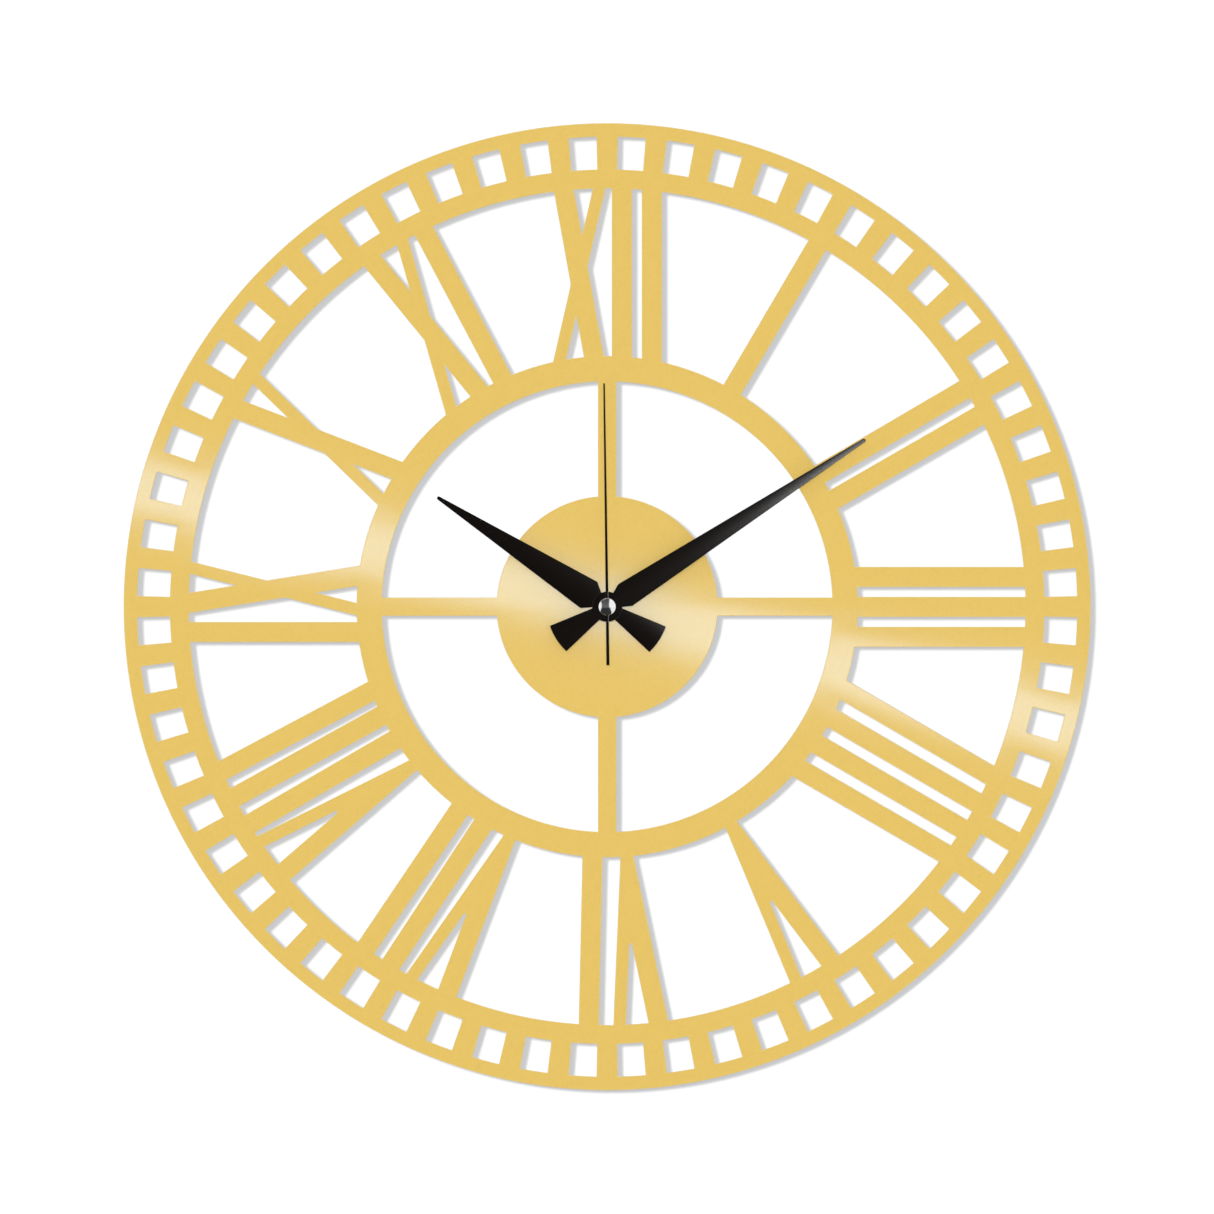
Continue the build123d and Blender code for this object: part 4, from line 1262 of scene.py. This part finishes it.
def room_paint(name, white, glow):
    """White paint that shows from its front only, with a share of its own light."""
    paint, tree = blank_finish(name)
    facing = add_node(tree, "ShaderNodeNewGeometry")
    shown = add_node(
        tree,
        "ShaderNodeMath",
        {"operation": "SUBTRACT", "use_clamp": True},
        links={0: seen_directly(tree), 1: facing.outputs["Backfacing"]},
    )
    matt = add_node(tree, "ShaderNodeBsdfDiffuse", values={"Color": (white, white, white, 1.0)})
    light = add_node(tree, "ShaderNodeEmission", values={"Color": (*glow, 1.0)})
    both = add_node(tree, "ShaderNodeAddShader", links={0: matt.outputs[0], 1: light.outputs[0]})
    clear = add_node(tree, "ShaderNodeBsdfTransparent")
    mixed = add_node(
        tree,
        "ShaderNodeMixShader",
        links={0: shown.outputs[0], 1: clear.outputs[0], 2: both.outputs[0]},
    )
    add_node(tree, "ShaderNodeOutputMaterial", links={"Surface": mixed.outputs[0]})
    return paint


def room_panel(name, corners, paint):
    mesh = bpy.data.meshes.new(name)
    mesh.from_pydata(corners, [], [list(range(len(corners)))])
    mesh.materials.append(paint)
    panel = bpy.data.objects.new(name, mesh)
    bpy.context.scene.collection.objects.link(panel)
    return panel


wall = room_panel(
    "wall",
    [
        (-REACH, WALL_GAP, FLOOR_HEIGHT),
        (REACH, WALL_GAP, FLOOR_HEIGHT),
        (REACH, WALL_GAP, REACH),
        (-REACH, WALL_GAP, REACH),
    ],
    room_paint("white_wall_paint", WALL_WHITE, WALL_GLOW),
)
room_panel(
    "floor",
    [
        (-REACH, -REACH, FLOOR_HEIGHT),
        (REACH, -REACH, FLOOR_HEIGHT),
        (REACH, REACH, FLOOR_HEIGHT),
        (-REACH, REACH, FLOOR_HEIGHT),
    ],
    room_paint("pale_floor_paint", FLOOR_WHITE, FLOOR_GLOW),
)


# Grey cloth: it runs out along the floor in front of the clock, then up and back over it in an
# arch, wider on the left and darker on the floor. Only bright and glossy surfaces see it: it gives
# the dome its dark middle between two white sides.
CLOTH_DISTANCE = 5.2
CLOTH_NEAR = (-0.8, 0.4)
CLOTH_FAR = (-6.0, 2.4)
CLOTH_UPPER = (-6.0, 1.6)
CLOTH_TOP = math.radians(80)
CLOTH_STEPS = 8
cloths = []
for name, colour in (("dark_grey_cloth", "#3C3C3C"), ("mid_grey_cloth", "#6E6E6E")):
    cloth, tree = blank_finish(name)
    matt = add_node(tree, "ShaderNodeBsdfDiffuse", values={"Color": linear(colour)})
    add_node(tree, "ShaderNodeOutputMaterial", links={"Surface": matt.outputs[0]})
    cloths.append(cloth)
cloth_low = FLOOR_HEIGHT + MM
cloth_rows = [(CLOTH_NEAR, 0.0, cloth_low), (CLOTH_FAR, -CLOTH_DISTANCE, cloth_low)]
for n in range(CLOTH_STEPS + 1):
    rise = CLOTH_TOP * n / CLOTH_STEPS
    depth, height = -CLOTH_DISTANCE * math.cos(rise), CLOTH_DISTANCE * math.sin(rise)
    cloth_rows.append((CLOTH_UPPER, depth, height))
for n, (low, high) in enumerate(zip(cloth_rows, cloth_rows[1:])):
    (low_left, low_right), *low_place = low
    (high_left, high_right), *high_place = high
    panel = room_panel(
        f"grey_cloth_{n}",
        [
            (low_left, *low_place),
            (low_right, *low_place),
            (high_right, *high_place),
            (high_left, *high_place),
        ],
        cloths[min(n, 1)],
    )
    panel.visible_camera = False
    panel.visible_diffuse = False
    panel.visible_transmission = False
    panel.visible_shadow = False


# Light: an even white room, a soft lamp beside the camera, one for the back, and one at the upper
# left that lights the wall alone and draws the clock's shadow there. A narrow strip shows only in
# the dial's skin, as the sheen across it, and a small disc only in the hands, as their grey shine.
ROOM_LIGHT = 0.45
LAMP_STRENGTH = 1.72
LAMP_RUN = Vector((0.0, 1.0, -0.03))
REAR_RUN = Vector((0.5, -1.0, -0.6))
LAMP_ANGLE = math.radians(6)
WALL_STRENGTH = 14.3
WALL_RUN = Vector((0.152, 1.0, -0.088))
WALL_ANGLE = math.radians(5.5)
SHEEN_TILT = math.radians(14.4)
SHEEN_SIZE = (0.72, 0.027)
SHEEN_POWER = 0.6
SHEEN_COLOUR = (0.34, 0.64, 1.0)
SHEEN_DISTANCE = 0.5
GLINT_SIZE = 0.094
GLINT_POWER = 0.37
GLINT_AT = (0.171, -1.027, 0.052)
world = bpy.data.worlds.new("even_white_room")
bpy.context.scene.world = world
world.use_nodes = True
tree = world.node_tree
tree.nodes.clear()
level = add_node(
    tree,
    "ShaderNodeMapRange",
    values={"To Min": ROOM_LIGHT, "To Max": 1.0},
    links={"Value": seen_directly(tree)},
)
sky = add_node(
    tree,
    "ShaderNodeBackground",
    values={"Color": (1.0, 1.0, 1.0, 1.0)},
    links={"Strength": level.outputs[0]},
)
add_node(tree, "ShaderNodeOutputWorld", links={"Surface": sky.outputs[0]})


def add_lamp(name, kind, energy):
    """A lamp at the origin, and the object that holds it."""
    lamp = bpy.data.lights.new(name, kind)
    lamp.energy = energy
    holder = bpy.data.objects.new(name, lamp)
    bpy.context.scene.collection.objects.link(holder)
    return lamp, holder


def add_far_lamp(name, energy, run, angle):
    """A lamp far away, whose light runs one way and which no mirror shows."""
    lamp, holder = add_lamp(name, "SUN", energy)
    lamp.angle = angle
    holder.rotation_mode = "QUATERNION"
    holder.rotation_quaternion = run.to_track_quat("-Z", "Y")
    holder.visible_glossy = False
    return holder


def group_of(name, *things):
    group = bpy.data.collections.new(name)
    for thing in things:
        group.objects.link(thing)
    return group


add_far_lamp("front_lamp", LAMP_STRENGTH, LAMP_RUN, LAMP_ANGLE)
add_far_lamp("rear_lamp", LAMP_STRENGTH, REAR_RUN, LAMP_ANGLE)
wall_lamp = add_far_lamp("wall_lamp", WALL_STRENGTH, WALL_RUN, WALL_ANGLE)
wall_lamp.light_linking.receiver_collection = group_of("wall_lamp_lights", wall)
wall_lamp.light_linking.blocker_collection = group_of("shadow_casters", dial_sheet, cover)
glint, glint_holder = add_lamp("hand_glint", "AREA", GLINT_POWER)
glint.shape = "DISK"
glint.size = GLINT_SIZE
glint_holder.location = GLINT_AT
glint_holder.rotation_euler = (math.radians(90), 0, 0)
glint_holder.visible_camera = False
glint_holder.light_linking.receiver_collection = group_of("hand_glint_lights", *blades)
strip, strip_holder = add_lamp("sheen_strip", "AREA", SHEEN_POWER)
strip.shape = "RECTANGLE"
strip.size, strip.size_y = SHEEN_SIZE
strip.color = SHEEN_COLOUR
strip_holder.matrix_world = (
    Matrix.Translation((0, -SHEEN_DISTANCE, 0))
    @ Matrix.Rotation(SHEEN_TILT, 4, "Y")
    @ Matrix.Rotation(math.radians(90), 4, "X")
)
strip_holder.visible_camera = False
strip_holder.visible_diffuse = False
strip_holder.light_linking.receiver_collection = group_of("sheen_strip_lights", dial_sheet)


# Camera: straight on, as the photo was taken, with the dial filling four fifths of the frame. It
# stands far off with a long lens, because the photo shows no perspective.
VIEW_WIDTH = 627.7 * MM
VIEW_AIM = (-0.09 * MM, -0.14 * MM)
VIEW_DISTANCE = 22.0
DIAL_FRONT = 19.5 * MM
SENSOR = 36.0
eye = bpy.data.cameras.new("front_view")
eye.sensor_width = SENSOR
eye.lens = SENSOR * VIEW_DISTANCE / VIEW_WIDTH
eye_holder = bpy.data.objects.new("front_view", eye)
eye_holder.location = (VIEW_AIM[0], -DIAL_FRONT - VIEW_DISTANCE, VIEW_AIM[1])
eye_holder.rotation_euler = (math.radians(90), 0, 0)
bpy.context.scene.collection.objects.link(eye_holder)
bpy.context.scene.camera = eye_holder
bpy.context.scene.view_settings.view_transform = "Standard"
